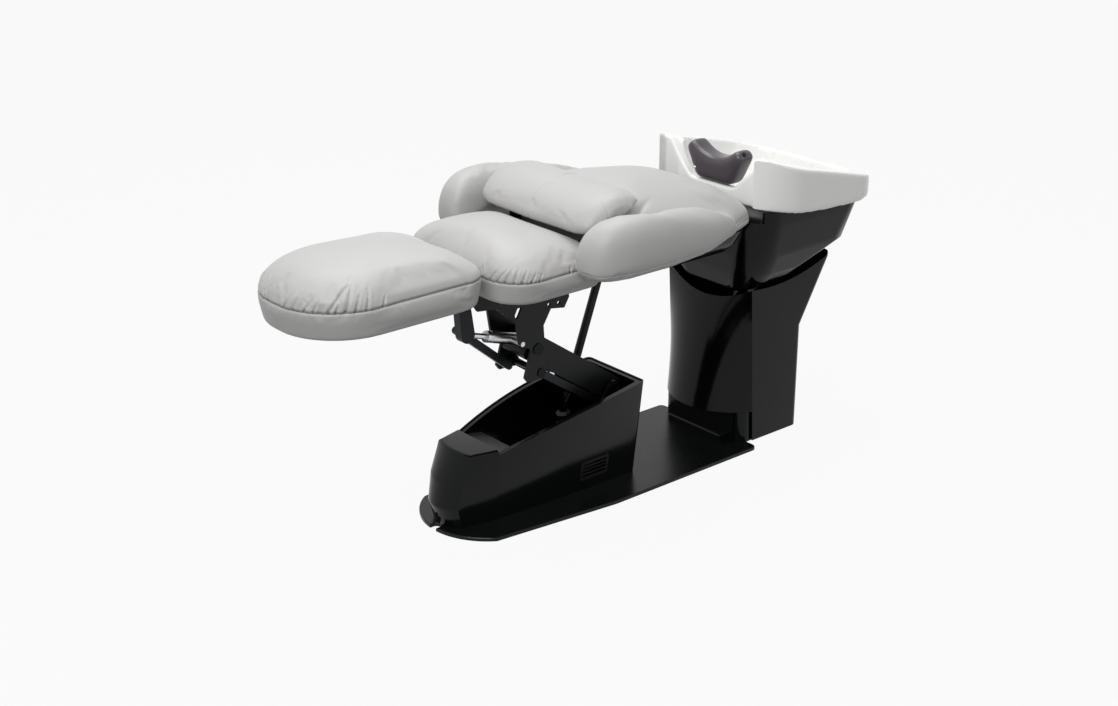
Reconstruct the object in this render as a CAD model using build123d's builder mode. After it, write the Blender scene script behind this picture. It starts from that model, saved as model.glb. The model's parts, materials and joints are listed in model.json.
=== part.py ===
from build123d import *
import os
from math import atan2, cos, degrees, radians, sin

os.makedirs("parts", exist_ok=True)

# A hair washing bed: a padded couch on a powered lift, and a tilting basin on its own pedestal.
# +X points to the head end and +Z up. The origin is on the floor under the lift arm's hinge pin.
# The couch is modelled raised, as it stands ready, with the backrest lying level.

# Shared clearances and thicknesses
gap = 0.3                    # between soft or curved faces that lie together
fitted = 1.0                 # between covers fitted by hand
running = 0.05               # radial clearance of a pin in its bore
overrun = 60.0               # how far a cutter passes its work
sheet = 8.0                  # welded steel plate
skin = 4.0                   # moulded cover
board_t = 14.0               # plywood under a cushion
collar_t, collar_rim = 3.0, 5.0

# Pivots of the lift, seen from the side as x and z
lift_z = 275.0
arm_length = 335.0
arm_angle = 34.8
arm_run, arm_rise = cos(radians(arm_angle)), sin(radians(arm_angle))
head_x, head_z = -arm_length * arm_run, lift_z + arm_length * arm_rise
link_shift, link_drop = 10.0, 71.0
link_foot = (link_shift, lift_z - link_drop)
link_head = (head_x + link_shift, head_z - link_drop)
crease_reach, crease_rise = 105.0, 339.0
crease_x, crease_z = head_x + crease_reach, head_z + crease_rise
tie_reach, tie_drop = 262.0, 190.0
tie_head = (crease_x + tie_reach, crease_z - tie_drop)
tie_foot = (-60.0, 200.0)
leg_reach, leg_rise = 215.0, 206.0
leg_x, leg_z = head_x - leg_reach, head_z + leg_rise

# Base plate
plate_t = 10.0
plate_half = 208.0
plate_front, plate_rear = -595.0, 457.0
plate_shoulder_x, plate_shoulder_half = -503.0, 166.0
plate_flare_x = -110.0
plate_corner = 18.0
plate_edge = 2.0
notch_width, notch_depth = 26.0, 24.0
anchor_r = 6.5
anchor_front_x, anchor_rear_x, anchor_half = -300.0, 20.0, 40.0

# Lift housing, a tapering tub that leans out towards its rim
housing_seam_x = -437.0
housing_full_z = 310.0
seam_half_low, seam_half_high = 78.0, 106.0
rear_half_low, rear_half_high = 95.0, 121.0
rear_x_low, rear_x_high = 62.0, 73.0
nose_low, nose_bulge, nose_waist, nose_brow, nose_full = -571.0, -587.0, -572.0, -540.0, -486.0
nose_height_shares = (0.0, 0.2, 0.43, 0.62, 1.0)
nose_shoulder_share, nose_blunt_share = 0.2, 0.8
side_bow_low, side_bow_high = 6.0, 24.0
housing_round = 14.0
nose_top_z, nose_round = 222.0, 12.0
rim_front_z, rim_middle_z, rim_rear_z = 210.0, 270.0, 299.0
liner_t, liner_width, liner_drop = 3.0, 14.0, 3.0
tray_length, tray_fall = 92.0, 20.0
vent_x, vent_z = -100.0, 72.0
vent_length, vent_height, vent_slot, vent_count = 104.0, 62.0, 7.0, 4
vent_margin, vent_inset = 7.0, 1.0
nose_hole_r, nose_hole_z = 5.0, 44.0

# Welded frame inside the housing
frame_half = 66.0
frame_front, frame_rear = -330.0, 46.0
frame_floor_t = 6.0
frame_low, frame_gusset_x = 66.0, -150.0
lift_pin_r, link_pin_r = 12.0, 8.0
lift_boss_r, link_boss_r = 24.0, 18.0

# Lift arm, a channel open underneath
arm_half, arm_depth, arm_wall = 46.0, 74.0, 5.0
arm_nose, arm_tail = 22.0, 34.0
arm_corner, arm_boss_r = 10.0, 20.0

# Levelling link, a bar on each side of the arm
link_half, link_t, link_bar, link_eye_r = 55.0, 6.0, 22.0, 16.0
link_tie_r, link_tie_share = 7.0, 0.25

# Lift ram
ram_foot = (-100.0, 62.0)
ram_head = (-155.0, 345.0)
ram_r, ram_bore_r, ram_rod_r, ram_pin_r = 21.0, 15.0, 11.0, 7.0
ram_body, ram_start, ram_floor, ram_gland = 158.0, 20.0, 28.0, 14.0
ram_eye_r, ram_eye_half, ram_slack = 17.0, 10.0, 5.0
ram_rod_reach = 160.0
ram_lug_t, ram_lug_gap, ram_lug_half = 6.0, 2.0, 24.0
port_r, port_reach, port_share = 6.0, 30.0, 0.84

# Tie rod between the lift frame and the backrest
tie_y = 80.0
tie_r, tie_eye_r, tie_eye_half, tie_pin_r = 12.0, 15.0, 6.0, 7.0
tie_slack, tie_side, tie_start = 1.4, 1.0, 21.0
tie_lug_t, tie_lug_foot = 6.0, 66.0

# Seat frame and the bracket on the arm's head
cheek_half = 66.0
bracket_rear_shares = ((0.51, 0.61), (0.43, 0.475), (0.21, 0.515), (0.09, 0.31))
bracket_tail_shares = ((0.0, -0.43), (-0.17, -0.43), (-0.22, -0.36), (-0.11, 0.02))
bracket_front_shares = ((-0.30, 0.13), (-0.35, 0.455), (-0.66, 0.72), (-0.945, 0.757), (-1.065, 0.96))
window_share, window_length, window_width, window_tilt = (-0.316, 0.597), 40.0, 14.0, 62.0
lightening_shares = ((0.18, 0.577), (0.34, 0.567))
lightening_r = 5.5
seat_rise, seat_band, seat_thick = 224.0, 48.0, 130.0
seat_reach, seat_half = 233.0, 250.0
cushion_gap = 18.0           # from the crease hinge to the cushions beside it
seat_under = head_z + seat_rise
seat_front, seat_rear = head_x - seat_reach, crease_x - cushion_gap
seat_front_round, seat_rear_round, seat_round = 96.0, 34.0, 30.0
board_margin = 26.0
rail_half, rail_t, rail_depth = 156.0, 8.0, 34.0
rail_front = 40.0
ear_half, crease_pin_r, crease_boss_r = 14.0, 6.0, 14.0
outrigger_x, outrigger_half, outrigger_t = (-120.0, 60.0), 15.0, 20.0
brace_low_y, brace_high_y, brace_r, brace_pin_r = 20.0, 40.0, 11.0, 8.0
brace_foot_share = (-0.145, -0.33)
cross_share, cross_r = (0.28, 0.60), 11.0

# Legrest and its drive
leg_pin_r, leg_boss_r = 8.0, 16.0
leg_arm_half, leg_arm_t, leg_arm_depth, leg_arm_reach = 56.0, 8.0, 26.0, 470.0
legrest_gap, legrest_length, legrest_half = 12.0, 532.0, 201.0
legrest_rise, legrest_band, legrest_thick = 28.0, 61.0, 144.0
legrest_foot_round, legrest_rear_round = 184.0, 80.0
legrest_rear = seat_front - legrest_gap
legrest_front = legrest_rear - legrest_length
legrest_under = leg_z + legrest_rise
motor_r, motor_length, motor_tilt = 16.5, 107.0, 17.4
motor_back, motor_up, motor_pin_reach, motor_pin_r = 31.0, 20.0, 23.0, 7.0
motor_rod_r, motor_y, motor_ring_t = 8.0, -5.0, 9.0
case_foot_share = (-0.93, 0.36)
case_head_r, case_foot_r, case_low_y, case_high_y = 17.0, 22.0, -22.0, 12.0

# Backrest
back_length, back_half, back_end_half, back_taper = 564.0, 253.0, 205.0, 448.0
back_drop, back_band, back_thick = 78.0, 19.0, 141.0
back_front = crease_x + cushion_gap
back_rear = back_front + back_length
back_under = crease_z - back_drop
back_corner, back_shoulder, back_end_round = 30.0, 60.0, 74.0
board_share = 0.95
wing_lap, wing_length, wing_width, wing_waist_share = 146.0, 634.0, 122.0, 0.79
wing_thick = 137.0
wing_plan_shares, wing_centre_share, wing_centre_reach = (0.16, 0.36, 0.66), 0.41, 34.0
wing_rounds = (8.0, 62.0, 150.0, 360.0, 260.0, 10.0)
wing_inner = back_half + fitted
back_rail_half, back_rail_t, back_rail_depth, back_rail_length = 168.0, 8.0, 26.0, 500.0
shell_front_gap, shell_length, shell_half, shell_depth = 22.0, 500.0, 222.0, 72.0
shell_shares = ((0.0, 1.0), (0.55, 0.93), (0.86, 0.85), (1.0, 0.76))
shell_slot, shell_round = 88.0, 46.0

# Lumbar pillow over the crease, hinged at its lower front edge on the seat
pillow_reach, pillow_rise = 92.0, 3.0
pillow_length, pillow_half, pillow_height = 226.0, 246.0, 96.0
pillow_middle_share = (0.5, 0.45)
pillow_shape_shares = {
    "under_front": (0.05, 0.0), "nose": (0.0, 0.16), "over_front": (0.05, 0.4),
    "crown": (0.48, 1.0), "over_rear": (0.96, 0.88), "heel": (1.0, 0.78), "under_rear": (0.96, 0.68),
    "seat_side": (0.38, 0.2), "back_side": (0.7, 0.44),
}
pillow_end_shares = ((-1.0, 0.5), (-0.93, 0.8), (-0.75, 0.96), (0.0, 1.0),
                     (0.75, 0.96), (0.93, 0.8), (1.0, 0.5))

# How the cushions draw in from seam to crown: height share, then plan share
crown_shares = ((0.0, 1.0), (0.3, 0.965), (0.56, 0.85), (0.77, 0.665), (0.92, 0.42), (1.0, 0.18))
wing_crown_shares = ((0.0, 1.0), (0.35, 0.985), (0.62, 0.92), (0.84, 0.78), (0.96, 0.58), (1.0, 0.4))
seat_lean, legrest_lean, back_lean = 0.10, 0.05, 0.15
band_share = 0.975

# Basin, hung over the head end of the couch
rim_rise = 95.0
rim_z = crease_z + rim_rise
bay_gap = 22.0
bay_x, bay_half = back_rear + bay_gap, 228.0
bowl_long, bowl_wide, bowl_long_low, bowl_wide_low = 380.0, 440.0, 170.0, 190.0
bowl_lead, bowl_tail, bowl_side = 31.4, 59.6, 42.0
bowl_middle_x = bay_x + bowl_lead + bowl_long / 2
basin_wing = 60.0
basin_half = bowl_wide / 2 + bowl_side
basin_front = bay_x - basin_wing
basin_rear = bay_x + bowl_lead + bowl_long + bowl_tail
basin_length = basin_rear - basin_front
basin_wall, basin_rim_t = 14.0, 16.0
neck_reach = 44.0
basin_front_wall = neck_reach + basin_wall / 2
basin_fall, basin_middle_fall = 126.0, 59.0
skirt_front, skirt_middle, skirt_rear = 140.0, 177.0, 172.0
basin_front_round, basin_rear_round = 26.0, 120.0
bowl_depth = 232.0
bowl_shares = ((0.0, 0.0), (0.06, 0.45), (0.2, 0.76), (0.36, 0.92), (0.52, 1.0), (1.2, 1.04))
bowl_corner_share = 0.6
neck_low_half, neck_high_half, neck_drop = 84.0, 214.0, 112.0
neck_low_round, neck_high_round, neck_top_round = 50.0, 60.0, 0.1
drain_flange_r, drain_flange_t, drain_tail_r, drain_tail, drain_wall = 32.0, 3.0, 17.0, 60.0, 3.0
drain_hole_r, drain_hole_count = 3.0, 6
hood_drop, hood_depth = 195.0, 255.0
hood_lead, hood_tail, hood_side = 36.0, 16.6, 15.0
hood_length = hood_lead + bowl_lead + bowl_long + hood_tail
hood_half = bowl_wide / 2 + hood_side
hood_round = 90.0
hood_side_share, hood_end_share = 0.6, 0.4
hood_shares = ((-0.15, 0.0, 1.0, 1.0), (0.0, 0.0, 1.0, 1.0), (0.41, 0.02, 0.935, 0.915),
               (0.65, 0.05, 0.65, 0.81), (0.88, 0.09, 0.435, 0.64), (1.0, 0.145, 0.35, 0.43))
bowl_pin_r, bowl_boss_r = 8.0, 16.0
bowl_pin_shares = (0.6293, 0.757)
bowl_pin = (bay_x - hood_lead + hood_length * bowl_pin_shares[0],
            rim_z - hood_drop - hood_depth * bowl_pin_shares[1])
bowl_tilt = 8.0
bracket_plate_half, bracket_plate_long = 48.0, 130.0
rest_depth, rest_base_half, rest_half, rest_horn_half = 74.0, 66.0, 112.0, 84.0
rest_low = neck_drop - gap
rest_saddle, rest_horn, rest_cap = 38.0, 2.0, 24.0
rest_lead, rest_round, rest_edge = 4.0, 10.0, 9.0

# Pedestal
ped_half, ped_round = 174.0, 26.0
ped_low, ped_panel_low = 12.0, 108.0
ped_foot_reach, ped_crease_reach, ped_rear_reach, ped_flare_reach = 37.0, 6.0, 237.0, 349.0
ped_foot_x, ped_crease_x = bay_x + ped_foot_reach, bay_x + ped_crease_reach
ped_rear_x, ped_flare_x = bay_x + ped_rear_reach, bay_x + ped_flare_reach
ped_kink_z = 336.0
ped_flare_rise, ped_top_rise, ped_crease_rise = 18.0, 76.0, 8.0
ped_flare_z, ped_top_z = bowl_pin[1] + ped_flare_rise, bowl_pin[1] + ped_top_rise
ped_crease_z = bowl_pin[1] + ped_crease_rise
ped_bow_low, ped_bow_high = 112.0, 6.0
ped_front_x = ped_foot_x - ped_bow_low
seat_front_drop, seat_middle_x, seat_middle_drop, seat_rear_rise = 14.0, 80.0, 14.0, 36.0
lip_drop = 62.0
hood_clear = 7.0
plinth_lead, plinth_half, plinth_round = 10.0, 166.0, 34.0
plinth_front = bay_x - plinth_lead
step_depth, step_half, step_t = 28.0, 110.0, 20.0
upright_reach, upright_wide = 106.0, 86.0
foot_r, foot_t, foot_reach, foot_half = 20.0, 8.0, 200.0, 120.0
panel_half, panel_low, panel_high, panel_t = 118.0, 70.0, 300.0, 3.0
waste_r, waste_wall, waste_z, waste_out = 20.0, 3.0, 210.0, 27.0
waste_collar = 4.0
trap_r, trap_low, trap_high = 36.0, 150.0, 280.0

sides = (("near", -1), ("far", 1))


def between(low, high, share):
    """Value at a share of the way from low to high."""
    return low + (high - low) * share


def from_head(shares):
    """Points in x and z at shares of the bracket's reach and rise from the head pin."""
    return [(head_x + x * leg_reach, head_z + z * leg_rise) for x, z in shares]


def side(y):
    """Plane across the part at one Y, drawn with X to the right and Z up."""
    return Plane.XZ.offset(-y)


def across(way, inner, thick):
    """Low and high Y of a plate on the near (-1) or the far (1) side."""
    return sorted((way * inner, way * (inner + thick)))


def cross_bar(place, radius, low_y, high_y, mode=Mode.ADD):
    """Round bar or bore along Y at an x and z."""
    with BuildSketch(side(high_y)) as profile:
        with Locations(place):
            Circle(radius)
    extrude(profile.sketch, amount=high_y - low_y, mode=mode)


def side_plate(points, low_y, high_y, mode=Mode.ADD):
    """Flat plate with a polygon outline in x and z, between two Y values."""
    with BuildSketch(side(high_y)) as profile:
        with BuildLine():
            Polyline(*points, close=True)
        make_face()
    extrude(profile.sketch, amount=high_y - low_y, mode=mode)


def pivot_pin(place, radius, half):
    """Pin through two cheeks with a collar on each outer face."""
    cross_bar(place, radius, -half, half)
    cross_bar(place, radius + collar_rim, half, half + collar_t)
    cross_bar(place, radius + collar_rim, -half - collar_t, -half)


def save(piece, name):
    """Label a finished sub-part and write it."""
    piece.part.label = name
    export_step(piece.part, f"parts/{name}.step")


def drawn_in(z, corners, rounds, share, centre, lean=0):
    """Rounded outline at a height, scaled by a share about a centre and leaning down towards +X."""
    points = [((x - centre[0]) * share, (y - centre[1]) * share) for x, y in corners]
    level_plane = Plane(origin=(centre[0], centre[1], z), x_dir=(1, 0, -lean), z_dir=(lean, 0, 1))
    with BuildSketch(level_plane) as level:
        with BuildLine():
            FilletPolyline(*points, radius=[size * share for size in rounds], close=True)
        make_face()
    return level.sketch


def cushion(corners, rounds, centre, under, seam, top, shares, lean):
    """Upholstered block: a band up to the seam, then a crown that draws in and leans."""
    loft([drawn_in(under, corners, rounds, band_share, centre), drawn_in(seam, corners, rounds, 1, centre)],
         ruled=True)
    loft([drawn_in(between(seam, top, rise), corners, rounds, share, centre, lean * rise)
          for rise, share in shares], ruled=True)


def rectangle(front, rear, half):
    """Corners of a plan rectangle about the middle plane."""
    return ((front, -half), (rear, -half), (rear, half), (front, half))


# Base plate: rounded at the foot end, with an anchor notch open to its edge
with BuildPart() as base_plate:
    with BuildSketch():
        with BuildLine():
            Polyline(
                (plate_shoulder_x, plate_shoulder_half),
                (plate_flare_x, plate_half),
                (plate_rear, plate_half),
                (plate_rear, -plate_half),
                (plate_flare_x, -plate_half),
                (plate_shoulder_x, -plate_shoulder_half),
            )
            ThreePointArc(
                (plate_shoulder_x, -plate_shoulder_half),
                (plate_front, 0),
                (plate_shoulder_x, plate_shoulder_half),
            )
        plate_face = make_face()
        fillet(plate_face.vertices().group_by(Axis.X)[-1], plate_corner)
        with Locations((plate_front, 0)):
            SlotOverall(2 * notch_depth, notch_width, mode=Mode.SUBTRACT)
    extrude(amount=plate_t)
    chamfer(base_plate.faces().sort_by(Axis.Z)[-1].outer_wire().edges(), plate_edge)
    with Locations(((anchor_front_x + anchor_rear_x) / 2, 0, plate_t)):
        with GridLocations(anchor_rear_x - anchor_front_x, 2 * anchor_half, 2, 2):
            Hole(anchor_r)
save(base_plate, "base_plate")

# Lift frame: a floor with the ram's lugs, and a cheek on each side with the pivots
frame_inner = frame_half - sheet
with BuildPart() as frame_floor:
    with BuildSketch(Plane.XY.offset(plate_t)):
        with Locations(((frame_front + frame_rear) / 2, 0)):
            Rectangle(frame_rear - frame_front, 2 * frame_inner)
        with Locations(((anchor_front_x + anchor_rear_x) / 2, 0)):
            with GridLocations(anchor_rear_x - anchor_front_x, 2 * anchor_half, 2, 2):
                Circle(anchor_r, mode=Mode.SUBTRACT)
    extrude(amount=frame_floor_t)
    floor_top = plate_t + frame_floor_t
    for name, way in sides:
        low_y, high_y = across(way, ram_eye_half + ram_lug_gap, ram_lug_t)
        cross_bar(ram_foot, ram_eye_r, low_y, high_y)
        side_plate(((ram_foot[0] - ram_lug_half, floor_top), (ram_foot[0] + ram_lug_half, floor_top),
                    (ram_foot[0] + ram_eye_r, ram_foot[1]), (ram_foot[0] - ram_eye_r, ram_foot[1])),
                   low_y, high_y)
    cross_bar(ram_foot, ram_pin_r + running, -frame_inner, frame_inner, Mode.SUBTRACT)
save(frame_floor, "frame_floor")

frame_outline = (
    (frame_front, plate_t),
    (frame_rear, plate_t),
    (frame_rear, link_foot[1]),
    (lift_boss_r, lift_z),
    (-lift_boss_r, lift_z),
    (tie_foot[0] - link_boss_r, tie_foot[1]),
    (frame_gusset_x, frame_low),
    (frame_front, frame_low),
)
for name, way in sides:
    low_y, high_y = across(way, frame_inner, sheet)
    with BuildPart() as frame_cheek:
        side_plate(frame_outline, low_y, high_y)
        cross_bar((0, lift_z), lift_boss_r, low_y, high_y)
        cross_bar(tie_foot, link_boss_r, low_y, high_y)
        if way > 0:
            cross_bar(tie_foot, tie_eye_r, low_y, tie_y - tie_eye_half - tie_side)
            cross_bar(tie_foot, tie_pin_r + running, low_y, tie_y, Mode.SUBTRACT)
        cross_bar((0, lift_z), lift_pin_r + running, low_y, high_y, Mode.SUBTRACT)
        cross_bar(link_foot, link_pin_r + running, low_y, high_y, Mode.SUBTRACT)
    save(frame_cheek, f"frame_cheek_{name}")

with BuildPart() as lift_pin:
    pivot_pin((0, lift_z), lift_pin_r, frame_half)
save(lift_pin, "lift_pin")

with BuildPart() as link_foot_pin:
    pivot_pin(link_foot, link_pin_r, frame_half)
save(link_foot_pin, "link_foot_pin")

with BuildPart() as tie_foot_pin:
    cross_bar(tie_foot, tie_pin_r, frame_inner, tie_y + tie_eye_half + tie_side)
    cross_bar(tie_foot, tie_pin_r + collar_rim, tie_y + tie_eye_half + tie_side,
              tie_y + tie_eye_half + tie_side + collar_t)
save(tie_foot_pin, "tie_foot_pin")


# Lift housing: one tapering body, parted into a nose and an open tub
def housing_level(share, inset, inner):
    """Plan of the housing at a share of its height, drawn in by an inset."""
    heights = dict(zip(nose_height_shares, (nose_low, nose_bulge, nose_waist, nose_brow, nose_full)))
    front = heights[share] + inset
    seam_half = between(seam_half_low, seam_half_high, share) - inset
    rear_half = between(rear_half_low, rear_half_high, share) - inset
    rear_x = between(rear_x_low, rear_x_high, share) - inset
    shoulder_x = between(front, housing_seam_x, nose_shoulder_share)
    shoulder = nose_blunt_share * seam_half
    middle_x = between(housing_seam_x, rear_x, 0.5)
    middle_half = (seam_half + rear_half) / 2 + between(side_bow_low, side_bow_high, share)
    with BuildSketch(Plane.XY.offset(between(plate_t, housing_full_z, share))) as level:
        with BuildLine():
            Line((shoulder_x, shoulder), (housing_seam_x, seam_half))
            ThreePointArc((housing_seam_x, seam_half), (middle_x, middle_half), (rear_x, rear_half))
            Line((rear_x, rear_half), (rear_x, -rear_half))
            ThreePointArc((rear_x, -rear_half), (middle_x, -middle_half), (housing_seam_x, -seam_half))
            Line((housing_seam_x, -seam_half), (shoulder_x, -shoulder))
            ThreePointArc((shoulder_x, -shoulder), (front, 0), (shoulder_x, shoulder))
        shape = make_face()
        fillet(shape.vertices().group_by(Axis.X)[-1], housing_round - inner)
    return level.sketch


def housing_block(inset, inner=0):
    """Solid housing, drawn in by an inset."""
    loft([housing_level(share, inset, inner) for share in nose_height_shares], ruled=True)


def above_rim(drop):
    """Cutter for all that lies above the rim line, lowered by a drop."""
    with BuildSketch(side(rear_half_high + overrun)) as profile:
        with BuildLine():
            Polyline((rear_x_high, rim_rear_z - drop), (rear_x_high + overrun, rim_rear_z - drop),
                     (rear_x_high + overrun, housing_full_z + overrun),
                     (nose_bulge - overrun, housing_full_z + overrun),
                     (nose_bulge - overrun, rim_front_z - drop), (housing_seam_x, rim_front_z - drop))
            ThreePointArc((housing_seam_x, rim_front_z - drop), (between(housing_seam_x, rear_x_high, 0.5),
                          rim_middle_z - drop), (rear_x_high, rim_rear_z - drop))
        make_face()
    extrude(profile.sketch, amount=2 * (rear_half_high + overrun), mode=Mode.SUBTRACT)


with BuildPart() as housing_outer:
    housing_block(0)
with BuildPart() as housing_inner:
    housing_block(skin, skin)
with BuildPart() as liner_inner:
    housing_block(skin + liner_width, skin)

with BuildPart() as nose_hollow:
    add(housing_inner.part)
    split(bisect_by=Plane.XY.offset(nose_top_z - skin), keep=Keep.BOTTOM)

with BuildPart() as nose_cover:
    add(housing_outer.part)
    split(bisect_by=Plane.YZ.offset(housing_seam_x), keep=Keep.BOTTOM)
    split(bisect_by=Plane.XY.offset(nose_top_z), keep=Keep.BOTTOM)
    fillet(nose_cover.faces().sort_by(Axis.Z)[-1].edges().sort_by(Axis.X)[:3], nose_round)
    add(nose_hollow.part, mode=Mode.SUBTRACT)
    with Locations(Plane(origin=(nose_bulge, 0, nose_hole_z), z_dir=(-1, 0, 0))):
        Hole(nose_hole_r, depth=overrun)
save(nose_cover, "nose_cover")


def vent_box(margin, depth):
    """Block through the near wall where the vent sits, drawn in by a margin."""
    with BuildSketch(side(0)) as window:
        with Locations((vent_x, vent_z)):
            RectangleRounded(vent_length - 2 * margin, vent_height - 2 * margin, vent_margin)
    return extrude(window.sketch, amount=depth, mode=Mode.PRIVATE)


with BuildPart() as vent_skin:
    housing_block(vent_inset, vent_inset)
    add(housing_inner.part, mode=Mode.SUBTRACT)
    add(vent_box(gap, rear_half_high + overrun), mode=Mode.INTERSECT)

with BuildPart() as housing_cover:
    add(housing_outer.part)
    add(housing_inner.part, mode=Mode.SUBTRACT)
    split(bisect_by=Plane.YZ.offset(housing_seam_x), keep=Keep.TOP)
    above_rim(0)
    add(vent_box(0, rear_half_high + overrun), mode=Mode.SUBTRACT)
save(housing_cover, "housing_cover")

# Cooling slots low in the near wall
with BuildPart() as housing_vent:
    add(vent_skin.part)
    slot_pitch = (vent_height - 2 * vent_margin) / vent_count
    with BuildSketch(side(0)) as slots:
        with Locations((vent_x, vent_z)):
            with GridLocations(vent_length, slot_pitch, 1, vent_count):
                SlotOverall(vent_length - 2 * vent_margin, vent_slot)
    extrude(slots.sketch, amount=rear_half_high + overrun, mode=Mode.SUBTRACT)
save(housing_vent, "housing_vent")

# Turned-in lip around the opening, just under the rim
with BuildPart() as housing_liner:
    add(housing_inner.part)
    add(liner_inner.part, mode=Mode.SUBTRACT)
    split(bisect_by=Plane.YZ.offset(housing_seam_x), keep=Keep.TOP)
    above_rim(liner_drop)
    with BuildSketch(side(rear_half_high + overrun)) as below:
        with BuildLine():
            under = liner_drop + liner_t
            ThreePointArc((housing_seam_x, rim_front_z - under), (between(housing_seam_x, rear_x_high, 0.5),
                          rim_middle_z - under), (rear_x_high, rim_rear_z - under))
            Polyline((rear_x_high, rim_rear_z - under), (rear_x_high + overrun, rim_rear_z - under),
                     (rear_x_high + overrun, 0), (housing_seam_x, 0), (housing_seam_x, rim_front_z - under))
        make_face()
    extrude(below.sketch, amount=2 * (rear_half_high + overrun), mode=Mode.SUBTRACT)
save(housing_liner, "housing_liner")

# Sloping panel behind the nose, across the front of the opening
tray_top = rim_front_z - liner_drop - liner_t - gap
with BuildPart() as tray_limit:
    housing_block(skin + gap, skin)
with BuildPart() as housing_tray:
    side_plate(((housing_seam_x + gap, tray_top), (housing_seam_x + tray_length, tray_top - tray_fall),
                (housing_seam_x + tray_length, tray_top - tray_fall - liner_t),
                (housing_seam_x + gap, tray_top - liner_t)), -rear_half_high, rear_half_high)
    add(tray_limit.part, mode=Mode.INTERSECT)
save(housing_tray, "housing_tray")


def along_arm(reach, lift):
    """Point at a reach from the lift hinge along the arm, and a lift square to it."""
    return (-reach * arm_run + lift * arm_rise, lift_z + reach * arm_rise + lift * arm_run)


# Lift arm: a channel open underneath, with a bushing at each end and the ram's pin across it
arm_middle = (arm_length + arm_nose - arm_tail) / 2
with BuildPart() as lift_arm:
    with BuildSketch(side(arm_half)) as profile:
        with Locations(along_arm(arm_middle, 0)):
            Rectangle(arm_length + arm_nose + arm_tail, arm_depth, rotation=-arm_angle)
        fillet(profile.vertices(), arm_corner)
    extrude(profile.sketch, amount=2 * arm_half)
    with BuildSketch(side(arm_half - arm_wall)) as hollow:
        with Locations(along_arm(arm_middle - arm_wall - overrun / 2, -arm_wall - overrun / 2)):
            Rectangle(arm_length + arm_nose + arm_tail - 2 * arm_wall + overrun, arm_depth + overrun,
                      rotation=-arm_angle)
    extrude(hollow.sketch, amount=2 * (arm_half - arm_wall), mode=Mode.SUBTRACT)
    for place, pin_r in (((0, lift_z), lift_pin_r), ((head_x, head_z), lift_pin_r)):
        cross_bar(place, arm_boss_r, -arm_half, arm_half)
        cross_bar(place, pin_r + running, -arm_half, arm_half, Mode.SUBTRACT)
    cross_bar(ram_head, ram_pin_r, -arm_half, arm_half)
save(lift_arm, "lift_arm")

# Levelling link: two bars and a tie between them
with BuildPart() as levelling_link:
    span = Vector(link_head[0] - link_foot[0], link_head[1] - link_foot[1])
    tie_place = (link_foot[0] + span.X * link_tie_share, link_foot[1] + span.Y * link_tie_share)
    for name, way in sides:
        low_y, high_y = across(way, link_half - link_t, link_t)
        with BuildSketch(side(high_y)) as bar:
            with Locations(((link_foot[0] + link_head[0]) / 2, (link_foot[1] + link_head[1]) / 2)):
                Rectangle(span.length, link_bar, rotation=degrees(atan2(span.Y, span.X)))
        extrude(bar.sketch, amount=link_t)
        for place in (link_foot, link_head):
            cross_bar(place, link_eye_r, low_y, high_y)
            cross_bar(place, link_pin_r + running, low_y, high_y, Mode.SUBTRACT)
    cross_bar(tie_place, link_tie_r, -link_half + link_t, link_half - link_t)
save(levelling_link, "levelling_link")

# Lift ram: a cylinder on a trunnion in the frame, and a rod with an eye on the arm's pin
ram_reach = Vector(ram_head[0] - ram_foot[0], 0, ram_head[1] - ram_foot[1])
ram_axis = Plane(origin=(ram_foot[0], 0, ram_foot[1]), x_dir=(0, 1, 0), z_dir=ram_reach)
ram_length = ram_reach.length
with BuildPart() as ram_cylinder:
    with BuildSketch(ram_axis.offset(ram_start)) as barrel:
        Circle(ram_r)
    extrude(barrel.sketch, amount=ram_body - ram_start)
    with BuildSketch(ram_axis) as neck:
        Rectangle(2 * ram_eye_half, 2 * ram_eye_half)
    extrude(neck.sketch, amount=ram_start)
    with BuildSketch(ram_axis.offset(ram_floor)) as bore:
        Circle(ram_bore_r)
    extrude(bore.sketch, amount=ram_body - ram_floor - ram_gland, mode=Mode.SUBTRACT)
    with BuildSketch(ram_axis.offset(ram_floor)) as gland:
        Circle(ram_rod_r + running)
    extrude(gland.sketch, amount=ram_body, mode=Mode.SUBTRACT)
    port_plane = Plane(origin=ram_axis.offset(ram_body * port_share).origin, x_dir=(0, 1, 0),
                       z_dir=(-ram_reach.Z, 0, ram_reach.X))
    with BuildSketch(port_plane.offset(ram_bore_r + running)) as port:
        Circle(port_r)
    extrude(port.sketch, amount=port_reach - ram_bore_r)
    cross_bar(ram_foot, ram_eye_r, -ram_eye_half, ram_eye_half)
    trunnion_half = ram_eye_half + ram_lug_gap + ram_lug_t
    cross_bar(ram_foot, ram_pin_r, -trunnion_half, trunnion_half)
save(ram_cylinder, "ram_cylinder")

with BuildPart() as ram_rod:
    with BuildSketch(ram_axis.offset(ram_length - ram_rod_reach)) as rod:
        Circle(ram_rod_r)
    extrude(rod.sketch, amount=ram_rod_reach)
    cross_bar(ram_head, ram_eye_r, -ram_eye_half, ram_eye_half)
    cross_bar(ram_head, ram_pin_r + ram_slack, -ram_r, ram_r, Mode.SUBTRACT)
save(ram_rod, "ram_rod")

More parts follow.
